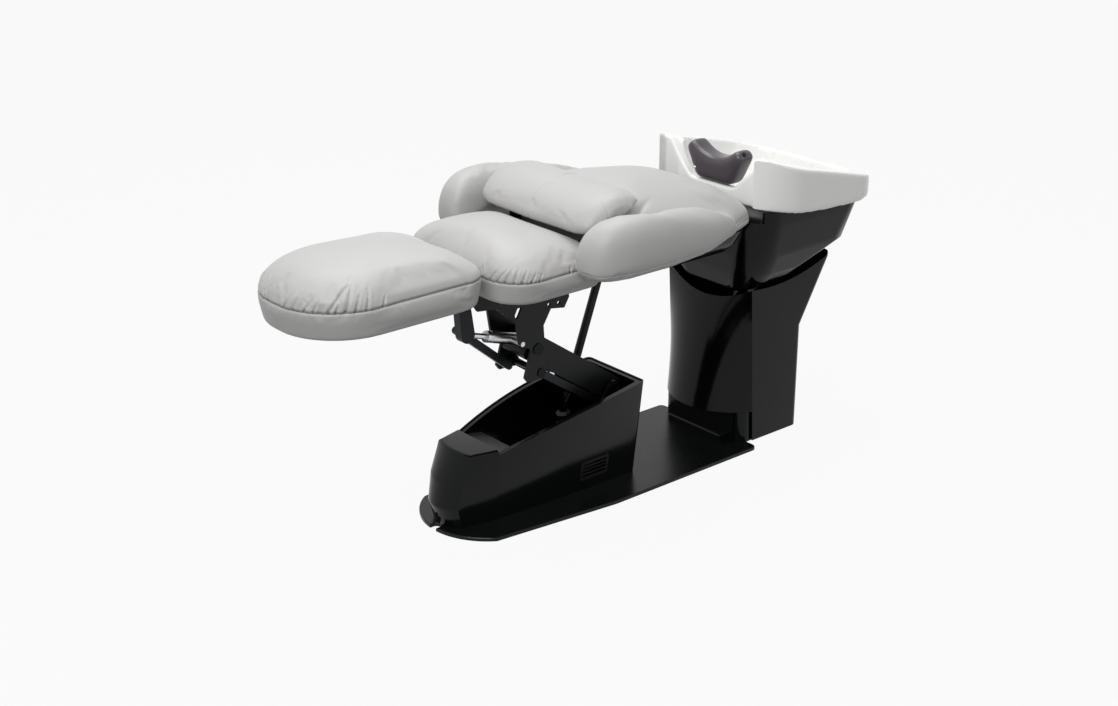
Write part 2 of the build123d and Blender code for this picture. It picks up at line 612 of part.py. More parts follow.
# Tie rod: holds the backrest's foot, so the back rises as the seat sinks
with BuildPart() as tie_rod:
    tie_reach_vector = Vector(tie_head[0] - tie_foot[0], 0, tie_head[1] - tie_foot[1])
    tie_plane = Plane(origin=(tie_foot[0], tie_y, tie_foot[1]), x_dir=(0, 1, 0), z_dir=tie_reach_vector)
    with BuildSketch(tie_plane.offset(tie_start)) as rod:
        Circle(tie_r)
    extrude(rod.sketch, amount=tie_reach_vector.length - 2 * tie_start)
    for place in (tie_foot, tie_head):
        neck = Plane(origin=(place[0], tie_y, place[1]), x_dir=(0, 1, 0),
                     z_dir=tie_reach_vector if place == tie_foot else tie_reach_vector * -1)
        with BuildSketch(neck) as eye_bar:
            Rectangle(2 * tie_eye_half, 2 * tie_r)
        extrude(eye_bar.sketch, amount=2 * tie_start)
        cross_bar(place, tie_eye_r, tie_y - tie_eye_half, tie_y + tie_eye_half)
    cross_bar(tie_foot, tie_pin_r + tie_slack, tie_y - tie_eye_half, tie_y + tie_eye_half, Mode.SUBTRACT)
    pin_half = tie_eye_half + tie_side + tie_lug_t
    cross_bar(tie_head, tie_pin_r, tie_y - pin_half, tie_y + pin_half)
save(tie_rod, "tie_rod")

# Bracket on the arm's head that carries the seat and the legrest
bracket_outline = (
    [(leg_x, seat_under - board_t), (crease_x, seat_under - board_t)]
    + from_head(bracket_rear_shares)
    + [(link_head[0] + link_boss_r, link_head[1])]
    + from_head(bracket_tail_shares)
    + from_head(bracket_front_shares)
)
motor_back_place = (head_x - motor_back, head_z + motor_up)
motor_run, motor_climb = cos(radians(motor_tilt)), sin(radians(motor_tilt))


def along_motor(reach):
    """Point at a reach from the motor's rear end along its axis, in x and z."""
    return (motor_back_place[0] - reach * motor_run, motor_back_place[1] + reach * motor_climb)


cheek_inner = cheek_half - sheet
brace_foot = from_head((brace_foot_share,))[0]
case_foot = from_head((case_foot_share,))[0]
cross_place = from_head((cross_share,))[0]
window_place = from_head((window_share,))[0]
for name, way in sides:
    low_y, high_y = across(way, cheek_inner, sheet)
    with BuildPart() as bracket_cheek:
        side_plate(bracket_outline, low_y, high_y)
        cross_bar((head_x, head_z), lift_boss_r, low_y, high_y)
        cross_bar(link_head, link_boss_r, low_y, high_y)
        cross_bar((leg_x, leg_z), leg_boss_r, low_y, high_y)
        cross_bar((head_x, head_z), lift_pin_r + running, low_y, high_y, Mode.SUBTRACT)
        cross_bar(link_head, link_pin_r + running, low_y, high_y, Mode.SUBTRACT)
        cross_bar((leg_x, leg_z), leg_pin_r + running, low_y, high_y, Mode.SUBTRACT)
        cross_bar(along_motor(motor_pin_reach), motor_pin_r + running, low_y, high_y, Mode.SUBTRACT)
        for place in from_head(lightening_shares):
            cross_bar(place, lightening_r, low_y, high_y, Mode.SUBTRACT)
        with BuildSketch(side(high_y)) as window:
            with Locations(window_place):
                SlotOverall(window_length, window_width, rotation=window_tilt)
        extrude(window.sketch, amount=sheet, mode=Mode.SUBTRACT)
    save(bracket_cheek, f"bracket_cheek_{name}")

with BuildPart() as bracket_brace:
    cross_bar(brace_foot, brace_pin_r, brace_low_y, cheek_inner)
    cross_bar(case_foot, brace_pin_r, case_high_y, brace_high_y)
    brace_span = Vector(case_foot[0] - brace_foot[0], case_foot[1] - brace_foot[1])
    with BuildSketch(side(brace_high_y)) as bar:
        with Locations(((case_foot[0] + brace_foot[0]) / 2, (case_foot[1] + brace_foot[1]) / 2)):
            SlotOverall(brace_span.length + 2 * brace_r, 2 * brace_r,
                        rotation=degrees(atan2(brace_span.Y, brace_span.X)))
    extrude(bar.sketch, amount=brace_high_y - brace_low_y)
save(bracket_brace, "bracket_brace")

with BuildPart() as bracket_cross_tube:
    cross_bar(cross_place, cross_r, -cheek_inner, cheek_inner)
    cross_bar(cross_place, cross_r - skin, -cheek_inner, cheek_inner, Mode.SUBTRACT)
save(bracket_cross_tube, "bracket_cross_tube")

with BuildPart() as head_pin:
    pivot_pin((head_x, head_z), lift_pin_r, cheek_half)
save(head_pin, "head_pin")

with BuildPart() as link_head_pin:
    pivot_pin(link_head, link_pin_r, cheek_half)
save(link_head_pin, "link_head_pin")

with BuildPart() as leg_pin:
    pivot_pin((leg_x, leg_z), leg_pin_r, cheek_half)
save(leg_pin, "leg_pin")


# Gear case on the legrest's axle, and the motor that drives it
with BuildPart() as gear_case_block:
    with BuildSketch(side(case_high_y)) as case:
        with Locations((leg_x, leg_z)):
            Circle(case_head_r)
        with Locations(case_foot):
            Circle(case_foot_r)
        make_hull()
    extrude(case.sketch, amount=case_high_y - case_low_y)
with BuildPart() as leg_gear_case:
    add(gear_case_block.part)
    chamfer(leg_gear_case.faces().filter_by(Axis.Y).edges(), collar_t)
    cross_bar((leg_x, leg_z), leg_pin_r + running, case_low_y, case_high_y, Mode.SUBTRACT)
save(leg_gear_case, "leg_gear_case")

with BuildPart() as leg_motor:
    motor_axis = Plane(origin=(motor_back_place[0], motor_y, motor_back_place[1]), x_dir=(0, 1, 0),
                       z_dir=(-motor_run, 0, motor_climb))
    with BuildSketch(motor_axis) as barrel:
        Circle(motor_r)
    extrude(barrel.sketch, amount=motor_length)
    with BuildSketch(motor_axis.offset(motor_length - 2 * motor_ring_t)) as ring:
        Circle(motor_r)
        Circle(motor_r - skin / 4, mode=Mode.SUBTRACT)
    extrude(ring.sketch, amount=motor_ring_t, mode=Mode.SUBTRACT)
    with BuildSketch(motor_axis) as rod:
        Circle(motor_rod_r)
    extrude(rod.sketch, amount=motor_length + overrun)
    add(gear_case_block.part, mode=Mode.SUBTRACT)
    cross_bar(along_motor(motor_pin_reach), motor_pin_r, -cheek_half, cheek_half)
save(leg_motor, "leg_motor")

# Seat rails, each with outriggers to the bracket and an ear and pin for the backrest
rail_top = seat_under - board_t
for name, way in sides:
    low_y, high_y = across(way, rail_half - rail_t, rail_t)
    with BuildPart() as seat_rail:
        side_plate(((seat_front + rail_front, rail_top), (seat_front + rail_front, rail_top - rail_depth / 2),
                    (seat_front + 2 * rail_front, rail_top - rail_depth),
                    (crease_x - 2 * ear_half, rail_top - rail_depth), (crease_x + ear_half, rail_top),
                    (crease_x + ear_half, crease_z), (crease_x - ear_half, crease_z),
                    (crease_x - ear_half, rail_top)), low_y, high_y)
        cross_bar((crease_x, crease_z), crease_boss_r, low_y, high_y)
        pin_low, pin_high = across(way, rail_half - rail_t, back_rail_half - rail_half + rail_t)
        cross_bar((crease_x, crease_z), crease_pin_r, pin_low, pin_high)
        pin_low, pin_high = across(way, back_rail_half, collar_t)
        cross_bar((crease_x, crease_z), crease_pin_r + collar_rim, pin_low, pin_high)
        for reach in outrigger_x:
            arm_low, arm_high = across(way, cheek_half, rail_half - rail_t - cheek_half)
            side_plate(((head_x + reach - outrigger_half, rail_top),
                        (head_x + reach + outrigger_half, rail_top),
                        (head_x + reach + outrigger_half, rail_top - outrigger_t),
                        (head_x + reach - outrigger_half, rail_top - outrigger_t)), arm_low, arm_high)
    save(seat_rail, f"seat_rail_{name}")

with BuildPart() as seat_board:
    with BuildSketch(Plane.XY.offset(rail_top)):
        with Locations(((leg_x + board_margin + seat_rear) / 2, 0)):
            RectangleRounded(seat_rear - leg_x - board_margin, 2 * (seat_half - board_margin), seat_round)
    extrude(amount=board_t)
    chamfer(seat_board.faces().sort_by(Axis.Z)[0].edges(), collar_t)
save(seat_board, "seat_board")

with BuildPart() as seat_cushion:
    cushion(rectangle(seat_front, seat_rear, seat_half),
            [seat_front_round, seat_rear_round, seat_rear_round, seat_front_round],
            ((seat_front + seat_rear) / 2, 0), seat_under, seat_under + seat_band, seat_under + seat_thick,
            crown_shares, seat_lean)
save(seat_cushion, "seat_cushion")

# Legrest: two arms on the axle, a board and a cushion
legrest_base = legrest_under - board_t
for name, way in sides:
    low_y, high_y = across(way, leg_arm_half - leg_arm_t, leg_arm_t)
    with BuildPart() as legrest_arm:
        side_plate(((leg_x, leg_z - leg_boss_r), (leg_x + leg_boss_r, leg_z), (legrest_rear, legrest_base),
                    (leg_x - leg_arm_reach, legrest_base), (leg_x - leg_arm_reach, legrest_base - leg_arm_t),
                    (leg_x - leg_arm_reach + 2 * leg_arm_depth, legrest_base - leg_arm_depth),
                    (leg_x - 2 * leg_arm_depth, legrest_base - leg_arm_depth)), low_y, high_y)
        cross_bar((leg_x, leg_z), leg_boss_r, low_y, high_y)
        cross_bar((leg_x, leg_z), leg_pin_r + running, low_y, high_y, Mode.SUBTRACT)
    save(legrest_arm, f"legrest_arm_{name}")

with BuildPart() as legrest_board:
    with BuildSketch(Plane.XY.offset(legrest_base)):
        with Locations(((legrest_front + legrest_rear) / 2, 0)):
            RectangleRounded(legrest_length - 2 * board_margin, 2 * (legrest_half - board_margin),
                             legrest_rear_round)
    extrude(amount=board_t)
    chamfer(legrest_board.faces().sort_by(Axis.Z)[0].edges(), collar_t)
save(legrest_board, "legrest_board")

with BuildPart() as legrest_cushion:
    cushion(rectangle(legrest_front, legrest_rear, legrest_half),
            [legrest_foot_round, legrest_rear_round, legrest_rear_round, legrest_foot_round],
            ((legrest_front + legrest_rear) / 2, 0), legrest_under, legrest_under + legrest_band,
            legrest_under + legrest_thick, crown_shares, legrest_lean)
save(legrest_cushion, "legrest_cushion")

# Backrest: rails and board, a moulded shell below, a centre pad and two side wings
back_base = back_under - board_t
for name, way in sides:
    low_y, high_y = across(way, back_rail_half - back_rail_t, back_rail_t)
    with BuildPart() as back_rail:
        side_plate(((crease_x + ear_half, crease_z), (crease_x - ear_half, crease_z),
                    (crease_x - ear_half, back_base - back_rail_depth + ear_half),
                    (crease_x, back_base - back_rail_depth),
                    (crease_x + back_rail_length - back_rail_depth, back_base - back_rail_depth),
                    (crease_x + back_rail_length, back_base), (back_front, back_base),
                    (crease_x + ear_half, back_under)), low_y, high_y)
        cross_bar((crease_x, crease_z), crease_boss_r, low_y, high_y)
        cross_bar((crease_x, crease_z), crease_pin_r + running, low_y, high_y, Mode.SUBTRACT)
    save(back_rail, f"back_rail_{name}")

pad_corners = ((back_front, -back_half), (back_front + back_taper, -back_half), (back_rear, -back_end_half),
               (back_rear, back_end_half), (back_front + back_taper, back_half), (back_front, back_half))
pad_rounds = (back_corner, back_shoulder, back_end_round, back_end_round, back_shoulder, back_corner)
pad_centre = (back_front + back_length / 2, 0)
wing_front = crease_x - wing_lap
wing_rear = wing_front + wing_length


def wing_corners(way, width):
    """Plan of a side wing outside the pad."""
    inner, outer = way * wing_inner, way * (wing_inner + width)
    waist = way * (wing_inner + width * wing_waist_share)
    swell, belly, ebb = (between(wing_front, wing_rear, share) for share in wing_plan_shares)
    return ((wing_front, inner), (wing_front, waist), (swell, outer), (belly, outer), (ebb, waist),
            (wing_rear, inner))


with BuildPart() as back_board:
    with BuildSketch(Plane.XY.offset(back_base)):
        with BuildLine():
            FilletPolyline(*((between(pad_centre[0], x, board_share), y * board_share)
                             for x, y in pad_corners),
                           radius=list(pad_rounds), close=True)
        make_face()
        with Locations((back_front + back_taper / 2, 0)):
            RectangleRounded(back_taper - 4 * board_margin, 2 * (wing_inner + wing_width / 2), board_margin)
    extrude(amount=board_t)
save(back_board, "back_board")

with BuildPart() as back_pad:
    cushion(pad_corners, pad_rounds, pad_centre, back_under, back_under + back_band,
            back_under + back_thick, crown_shares, back_lean)
save(back_pad, "back_pad")

for name, way in sides:
    with BuildPart() as back_wing:
        centre = (between(wing_front, wing_rear, wing_centre_share), way * (wing_inner + wing_centre_reach))
        corners = wing_corners(way, wing_width)
        cushion(corners, wing_rounds, centre, back_under, back_under + back_band,
                back_under + wing_thick, wing_crown_shares, back_lean)
    save(back_wing, f"back_wing_{name}")

with BuildPart() as back_shell:
    shell_front = back_front + shell_front_gap
    shell_corners = rectangle(shell_front, shell_front + shell_length, shell_half)
    inner_corners = rectangle(shell_front + skin, shell_front + shell_length - skin, shell_half - skin)
    shell_centre = (shell_front + shell_length / 2, 0)
    shell_low = back_base - shell_depth
    loft([drawn_in(back_base - drop * shell_depth, shell_corners, [shell_round] * 4, share, shell_centre)
          for drop, share in shell_shares], ruled=True)
    loft([drawn_in(back_base - drop * (shell_depth - skin), inner_corners, [shell_round] * 4, share,
                   shell_centre)
          for drop, share in shell_shares], ruled=True, mode=Mode.SUBTRACT)
    with BuildSketch(Plane.XY.offset(shell_low)) as slot:
        with Locations((tie_head[0], tie_y)):
            RectangleRounded(shell_slot, 2 * tie_r + 4 * tie_lug_t, tie_lug_t)
    extrude(slot.sketch, amount=2 * skin, mode=Mode.SUBTRACT)
    for name, way in sides:
        low_y, high_y = across(way, back_rail_half - back_rail_t - fitted, back_rail_t + 2 * fitted)
        side_plate(((crease_x, back_base), (crease_x, back_base - back_rail_depth - fitted),
                    (crease_x + back_rail_length + fitted, back_base - back_rail_depth - fitted),
                    (crease_x + back_rail_length + fitted, back_base)), low_y, high_y, Mode.SUBTRACT)
save(back_shell, "back_shell")

with BuildPart() as tie_bracket:
    for way in (-1, 1):
        low_y, high_y = sorted((tie_y + way * (tie_eye_half + tie_side),
                                tie_y + way * (tie_eye_half + tie_side + tie_lug_t)))
        side_plate(((tie_head[0] - tie_lug_foot / 2, back_base), (tie_head[0] + tie_lug_foot / 2, back_base),
                    (tie_head[0] + tie_eye_r, tie_head[1]), (tie_head[0] - tie_eye_r, tie_head[1])),
                   low_y, high_y)
        cross_bar(tie_head, tie_eye_r, low_y, high_y)
        cross_bar(tie_head, tie_pin_r + running, low_y, high_y, Mode.SUBTRACT)
    with BuildSketch(Plane.XY.offset(back_base)) as foot:
        with Locations((tie_head[0], tie_y)):
            Rectangle(tie_lug_foot, 2 * (tie_eye_half + tie_side + tie_lug_t))
    extrude(foot.sketch, amount=-tie_lug_t)
save(tie_bracket, "tie_bracket")


def pillow_section(station, share):
    """Cross-section of the pillow at a Y, scaled by a share about its middle."""
    front_x, front_z = crease_x - pillow_reach, crease_z + pillow_rise
    middle_along, middle_up = pillow_middle_share
    place = {}
    for name, (along, up) in pillow_shape_shares.items():
        x = between(middle_along, along, share) * pillow_length
        z = between(middle_up, up, share) * pillow_height
        place[name] = (front_x + x, front_z + z)
    with BuildSketch(side(station)) as section:
        with BuildLine():
            ThreePointArc(place["under_front"], place["nose"], place["over_front"])
            ThreePointArc(place["over_front"], place["crown"], place["over_rear"])
            ThreePointArc(place["over_rear"], place["heel"], place["under_rear"])
            Line(place["under_rear"], place["back_side"])
            Line(place["back_side"], place["seat_side"])
            Line(place["seat_side"], place["under_front"])
        make_face()
    return section.sketch


with BuildPart() as pillow:
    loft([pillow_section(station * pillow_half, share) for station, share in pillow_end_shares], ruled=True)
save(pillow, "pillow")


# Basin: a sloping rim, a deep skirt, and a front wall that dips for the neck
def basin_plan(inset):
    """Plan of the basin drawn in by an inset."""
    with BuildSketch(Plane.XY.offset(rim_z + overrun)) as plan:
        with BuildLine():
            FilletPolyline(*rectangle(basin_front + inset, basin_rear - inset, basin_half - inset),
                           radius=[basin_front_round, basin_rear_round - inset, basin_rear_round - inset,
                                   basin_front_round], close=True)
        make_face()
    return plan.sketch


def slope_cut(front_z, middle_z, rear_z, keep_below):
    """Cutter with a sloping curved face, seen from the side."""
    far_z = rim_z + 2 * overrun if keep_below else rim_z - hood_drop - hood_depth
    run = 2 * overrun / basin_length
    low_x, low_z = basin_front - overrun, front_z + (front_z - middle_z) * run
    high_x, high_z = basin_rear + overrun, rear_z + (rear_z - middle_z) * run
    with BuildSketch(side(basin_half + overrun)) as profile:
        with BuildLine():
            ThreePointArc((low_x, low_z), ((basin_front + basin_rear) / 2, middle_z), (high_x, high_z))
            Polyline((high_x, high_z), (high_x, far_z), (low_x, far_z), (low_x, low_z))
        make_face()
    extrude(profile.sketch, amount=2 * (basin_half + overrun), mode=Mode.SUBTRACT)


def bowl_hollow(inset, sink):
    """Bowl of the basin, drawn in by an inset and sunk by a depth."""
    low_z = rim_z - bowl_depth - sink
    sections = []
    for rise, share in bowl_shares:
        half_long = between(bowl_long_low, bowl_long, share) / 2 - inset
        half_wide = between(bowl_wide_low, bowl_wide, share) / 2 - inset
        corners = rectangle(bowl_middle_x - half_long, bowl_middle_x + half_long, half_wide)
        sections.append(drawn_in(low_z + rise * bowl_depth, corners, [half_long * bowl_corner_share] * 4, 1,
                                 (bowl_middle_x, 0)))
    return loft(sections, ruled=True)


neck_rounds = [neck_top_round, neck_high_round, neck_low_round,
               neck_low_round, neck_high_round, neck_top_round]
neck_points = (
    (-neck_high_half, rim_z + overrun),
    (-neck_high_half, rim_z),
    (-neck_low_half, rim_z - neck_drop),
    (neck_low_half, rim_z - neck_drop),
    (neck_high_half, rim_z),
    (neck_high_half, rim_z + overrun),
)
with BuildPart() as bowl_outside:
    bowl_hollow(-basin_wall, basin_wall)

with BuildPart() as bowl_inside:
    bowl_hollow(0, 0)

with BuildPart() as skirt_hollow:
    extrude(basin_plan(basin_wall), amount=-hood_depth - overrun)
    deck_z = rim_z - basin_rim_t
    slope_cut(deck_z, deck_z - basin_middle_fall, deck_z - basin_fall, True)
    split(bisect_by=Plane.YZ.offset(bay_x + basin_wall), keep=Keep.TOP)
    with BuildSketch(Plane.XY.offset(rim_z - neck_drop - basin_wall)) as bridge:
        with Locations((bay_x + basin_front_wall - overrun, 0)):
            Rectangle(2 * overrun, 2 * (basin_half + overrun))
    extrude(bridge.sketch, amount=neck_drop + basin_wall + overrun, mode=Mode.SUBTRACT)

with BuildPart() as basin:
    extrude(basin_plan(0), amount=-hood_depth - overrun)
    slope_cut(rim_z - skirt_front, rim_z - skirt_middle, rim_z - skirt_rear, False)
    with BuildSketch(Plane.XY.offset(rim_z + overrun)) as bay:
        with Locations((bay_x - overrun, 0)):
            Rectangle(2 * overrun, 2 * bay_half)
        fillet(bay.vertices().group_by(Axis.X)[-1], basin_front_round)
    extrude(bay.sketch, amount=-2 * hood_depth, mode=Mode.SUBTRACT)
    add(skirt_hollow.part, mode=Mode.SUBTRACT)
    add(bowl_outside.part)
    slope_cut(rim_z, rim_z - basin_middle_fall, rim_z - basin_fall, True)
    add(bowl_inside.part, mode=Mode.SUBTRACT)
    with BuildSketch(Plane.YZ.offset(basin_front - overrun)) as neck:
        with BuildLine():
            FilletPolyline(*neck_points, radius=neck_rounds, close=True)
        make_face()
    extrude(neck.sketch, amount=overrun + basin_wing + neck_reach, mode=Mode.SUBTRACT)
    with BuildSketch(Plane.XY.offset(rim_z - bowl_depth)) as drain:
        with Locations((bowl_middle_x, 0)):
            Circle(drain_tail_r + gap)
    extrude(drain.sketch, amount=-2 * basin_wall, mode=Mode.SUBTRACT)
save(basin, "basin")


# Hood under the basin: a moulded shell whose underside sweeps up towards the back
def hood_block(inset):
    """Solid hood drawn in by an inset, or grown where the inset is negative."""
    levels = []
    for drop, front, rear, half in hood_shares:
        front_x = bay_x - hood_lead + front * hood_length + inset
        rear_x = bay_x - hood_lead + rear * hood_length - inset
        half_y = half * hood_half - inset
        level_round = min(hood_round, half_y * hood_side_share, (rear_x - front_x) * hood_end_share)
        levels.append(drawn_in(rim_z - hood_drop - drop * hood_depth + (inset if drop == 1 else 0),
                               rectangle(front_x, rear_x, half_y), [level_round] * 4, 1, (0, 0)))
    loft(levels, ruled=True)


with BuildPart() as hood_outer:
    hood_block(0)

with BuildPart() as hood_inner:
    hood_block(skin)

with BuildPart() as hood:
    add(hood_outer.part)
    with BuildSketch(Plane.XY.offset(rim_z)) as bay:
        with Locations((bay_x - overrun, 0)):
            Rectangle(2 * overrun, 2 * basin_half)
    extrude(bay.sketch, amount=-hood_drop + hood_clear, mode=Mode.SUBTRACT)
    add(hood_inner.part, mode=Mode.SUBTRACT)
    slot_low, slot_high = bowl_pin[0] - bracket_plate_long, bowl_pin[0] + bracket_plate_long / 2
    for name, way in sides:
        low_y, high_y = across(way, bracket_plate_half - sheet - gap, sheet + 2 * gap)
        side_plate(((slot_low, bowl_pin[1] - bowl_boss_r), (slot_high, bowl_pin[1] - bowl_boss_r),
                    (slot_high, bowl_pin[1] + overrun), (slot_low, bowl_pin[1] + overrun)),
                   low_y, high_y, Mode.SUBTRACT)
save(hood, "hood")

# Bracket plates that carry the bowl on its tilt hinge, seated under the basin through slots in the hood
plate_top = rim_z - bowl_depth + overrun
with BuildPart() as bowl_bracket:
    for name, way in sides:
        low_y, high_y = across(way, bracket_plate_half - sheet, sheet)
        side_plate(((bowl_pin[0] - bowl_boss_r, bowl_pin[1]), (bowl_pin[0] + bowl_boss_r, bowl_pin[1]),
                    (bowl_middle_x + bracket_plate_long / 2, plate_top),
                    (bowl_middle_x - bracket_plate_long / 2, plate_top)), low_y, high_y)
        cross_bar(bowl_pin, bowl_boss_r, low_y, high_y)
        cross_bar(bowl_pin, bowl_pin_r + running, low_y, high_y, Mode.SUBTRACT)
    cross_bar((bowl_pin[0], bowl_pin[1] + overrun), cross_r, -bracket_plate_half, bracket_plate_half)
    add(bowl_outside.part, mode=Mode.SUBTRACT)
save(bowl_bracket, "bowl_bracket")

# Drain: a flanged strainer in the bowl's floor and a short tail below it
bowl_floor = rim_z - bowl_depth
with BuildPart() as drain_strainer:
    with BuildSketch(Plane.XY.offset(bowl_floor)) as flange:
        with Locations((bowl_middle_x, 0)):
            Circle(drain_flange_r)
    extrude(flange.sketch, amount=drain_flange_t)
    chamfer(drain_strainer.faces().sort_by(Axis.Z)[-1].edges(), drain_flange_t / 3)
    with BuildSketch(Plane.XY.offset(bowl_floor)) as tail:
        with Locations((bowl_middle_x, 0)):
            Circle(drain_tail_r)
    extrude(tail.sketch, amount=-drain_tail)
    with BuildSketch(Plane.XY.offset(bowl_floor - drain_tail)) as bore:
        with Locations((bowl_middle_x, 0)):
            Circle(drain_tail_r - 2 * drain_wall)
    extrude(bore.sketch, amount=drain_tail, mode=Mode.SUBTRACT)
    with BuildSketch(Plane.XY.offset(bowl_floor)) as holes:
        with Locations((bowl_middle_x, 0)):
            with PolarLocations(drain_tail_r / 2, drain_hole_count):
                Circle(drain_hole_r)
    extrude(holes.sketch, amount=drain_flange_t, mode=Mode.SUBTRACT)
save(drain_strainer, "drain_strainer")

# Neck rest: a soft saddle that straddles the dip in the basin's front wall
rest_front = bay_x - rest_lead
with BuildPart() as neck_rest:
    with BuildSketch(Plane.YZ.offset(rest_front)) as saddle:
        with BuildLine():
            Polyline((rest_horn_half, rim_z - rest_horn), (rest_half, rim_z - rest_cap),
                     (rest_base_half, rim_z - rest_low), (-rest_base_half, rim_z - rest_low),
                     (-rest_half, rim_z - rest_cap), (-rest_horn_half, rim_z - rest_horn))
            ThreePointArc((-rest_horn_half, rim_z - rest_horn), (0, rim_z - rest_saddle),
                          (rest_horn_half, rim_z - rest_horn))
        shape = make_face()
        fillet(shape.vertices(), rest_round)
    extrude(saddle.sketch, amount=rest_depth)
    chamfer(neck_rest.faces().sort_by(Axis.X)[0].edges(), rest_edge)
    chamfer(neck_rest.faces().sort_by(Axis.X)[-1].edges(), rest_edge)
    add(basin.part, mode=Mode.SUBTRACT)
save(neck_rest, "neck_rest")

# Pedestal: steel uprights on a floor plate, standing on the base plate and two feet
ped_floor = plate_t
with BuildPart() as pedestal_frame:
    with BuildSketch(Plane.XY.offset(ped_floor)) as floor:
        with Locations(((plinth_front + foot_reach + bay_x) / 2, 0)):
            Rectangle(bay_x + foot_reach - plinth_front - 2 * skin, 2 * step_half)
    extrude(floor.sketch, amount=sheet)
    upright_x = bay_x + upright_reach
    for name, way in sides:
        low_y, high_y = across(way, bracket_plate_half + fitted, sheet)
        side_plate(((upright_x, ped_floor + sheet), (upright_x + upright_wide, ped_floor + sheet),
                    (upright_x + upright_wide, ped_kink_z), (bowl_pin[0] + bowl_boss_r, bowl_pin[1]),
                    (bowl_pin[0] - bowl_boss_r, bowl_pin[1]), (upright_x, ped_kink_z)), low_y, high_y)
        cross_bar(bowl_pin, bowl_boss_r, low_y, high_y)
        cross_bar(bowl_pin, bowl_pin_r + running, low_y, high_y, Mode.SUBTRACT)
        with BuildSketch(Plane.XY.offset(ped_floor)) as stem:
            with Locations((bay_x + foot_reach - foot_r, way * (step_half - foot_r))):
                Circle(foot_r / 2)
        extrude(stem.sketch, amount=foot_t - ped_floor)
        with BuildSketch(Plane.XY) as pad:
            with Locations((bay_x + foot_reach - foot_r, way * (step_half - foot_r))):
                Circle(foot_r)
        extrude(pad.sketch, amount=foot_t)
    with BuildSketch(Plane.XY.offset(ped_floor + sheet)) as web:
        with Locations((upright_x + sheet, 0)):
            Rectangle(sheet, 2 * (bracket_plate_half + fitted))
    extrude(web.sketch, amount=ped_kink_z - ped_floor - sheet)
save(pedestal_frame, "pedestal_frame")

with BuildPart() as bowl_pin_bar:
    pivot_pin(bowl_pin, bowl_pin_r, bracket_plate_half + fitted + sheet)
save(bowl_pin_bar, "bowl_pin")


def hood_seat():
    """Cutter that opens the covers' tops under the hood, deep enough for its tilt."""
    with BuildSketch(side(ped_half + overrun)) as profile:
        with BuildLine():
            ThreePointArc((ped_crease_x, bowl_pin[1] - seat_front_drop),
                          (bowl_pin[0] - seat_middle_x, bowl_pin[1] - seat_middle_drop),
                          (ped_flare_x, bowl_pin[1] + seat_rear_rise))
            Polyline((ped_flare_x, bowl_pin[1] + seat_rear_rise),
                     (ped_flare_x + overrun, bowl_pin[1] + seat_rear_rise),
                     (ped_flare_x + overrun, rim_z), (ped_front_x - overrun, rim_z),
                     (ped_front_x - overrun, bowl_pin[1] - seat_front_drop),
                     (ped_crease_x, bowl_pin[1] - seat_front_drop))
        make_face()
    extrude(profile.sketch, amount=2 * (ped_half + overrun), mode=Mode.SUBTRACT)


def crease_at(z):
    """X of the seam between the pedestal's front and side covers at a height."""
    return between(ped_foot_x, ped_crease_x, (z - ped_low) / (ped_crease_z - ped_low))


def front_level(z, inset):
    """Bowed plan of the front cover at a height."""
    bow = between(ped_bow_low, ped_bow_high, (z - ped_panel_low) / (ped_crease_z - ped_panel_low))
    with BuildSketch(Plane.XY.offset(z)) as level:
        with BuildLine():
            ThreePointArc((crease_at(z), ped_half - inset), (crease_at(z) - bow + inset, 0),
                          (crease_at(z), inset - ped_half))
            Line((crease_at(z), inset - ped_half), (crease_at(z), ped_half - inset))
        make_face()
    return level.sketch


with BuildPart() as pedestal_front_cover:
    loft([front_level(ped_panel_low, 0), front_level(ped_crease_z, 0)], ruled=True)
    loft([front_level(ped_panel_low + skin, skin), front_level(ped_crease_z, skin)], ruled=True,
         mode=Mode.SUBTRACT)
    with BuildSketch(Plane.YZ.offset(ped_front_x - overrun)) as dip:
        with BuildLine():
            ThreePointArc((-ped_half, bowl_pin[1] - seat_front_drop), (0, bowl_pin[1] - lip_drop),
                          (ped_half, bowl_pin[1] - seat_front_drop))
            Polyline((ped_half, bowl_pin[1] - seat_front_drop), (ped_half, rim_z), (-ped_half, rim_z),
                     (-ped_half, bowl_pin[1] - seat_front_drop))
        make_face()
    extrude(dip.sketch, amount=ped_bow_low + 2 * overrun, mode=Mode.SUBTRACT)
save(pedestal_front_cover, "pedestal_front_cover")


def side_outline(inset):
    """Side profile of the pedestal's rear cover, drawn in by an inset."""
    return ((ped_foot_x, ped_low), (ped_rear_x - inset, ped_low), (ped_rear_x - inset, ped_kink_z),
            (ped_flare_x - inset, ped_flare_z), (ped_flare_x - inset, ped_top_z),
            (crease_at(ped_top_z), ped_top_z), (crease_at(ped_crease_z), ped_crease_z))


def rear_corners(piece):
    """Edges down the two rear corners of a side profile."""
    return piece.edges().filter_by(
        lambda edge: abs(edge.center().Y) > ped_half - 2 * skin and edge.center().X > ped_rear_x - 2 * skin)


with BuildPart() as side_hollow:
    side_plate(side_outline(skin), -ped_half + skin, ped_half - skin)
    fillet(rear_corners(side_hollow), ped_round - skin)
with BuildPart() as pedestal_side_cover:
    side_plate(side_outline(0), -ped_half, ped_half)
    fillet(rear_corners(pedestal_side_cover), ped_round)
    add(side_hollow.part, mode=Mode.SUBTRACT)
    hood_seat()
    with BuildSketch(Plane.YZ.offset(ped_rear_x - 2 * skin)) as outlet:
        with Locations((0, waste_z)):
            Circle(waste_r + waste_collar + gap)
    extrude(outlet.sketch, amount=overrun, mode=Mode.SUBTRACT)
save(pedestal_side_cover, "pedestal_side_cover")

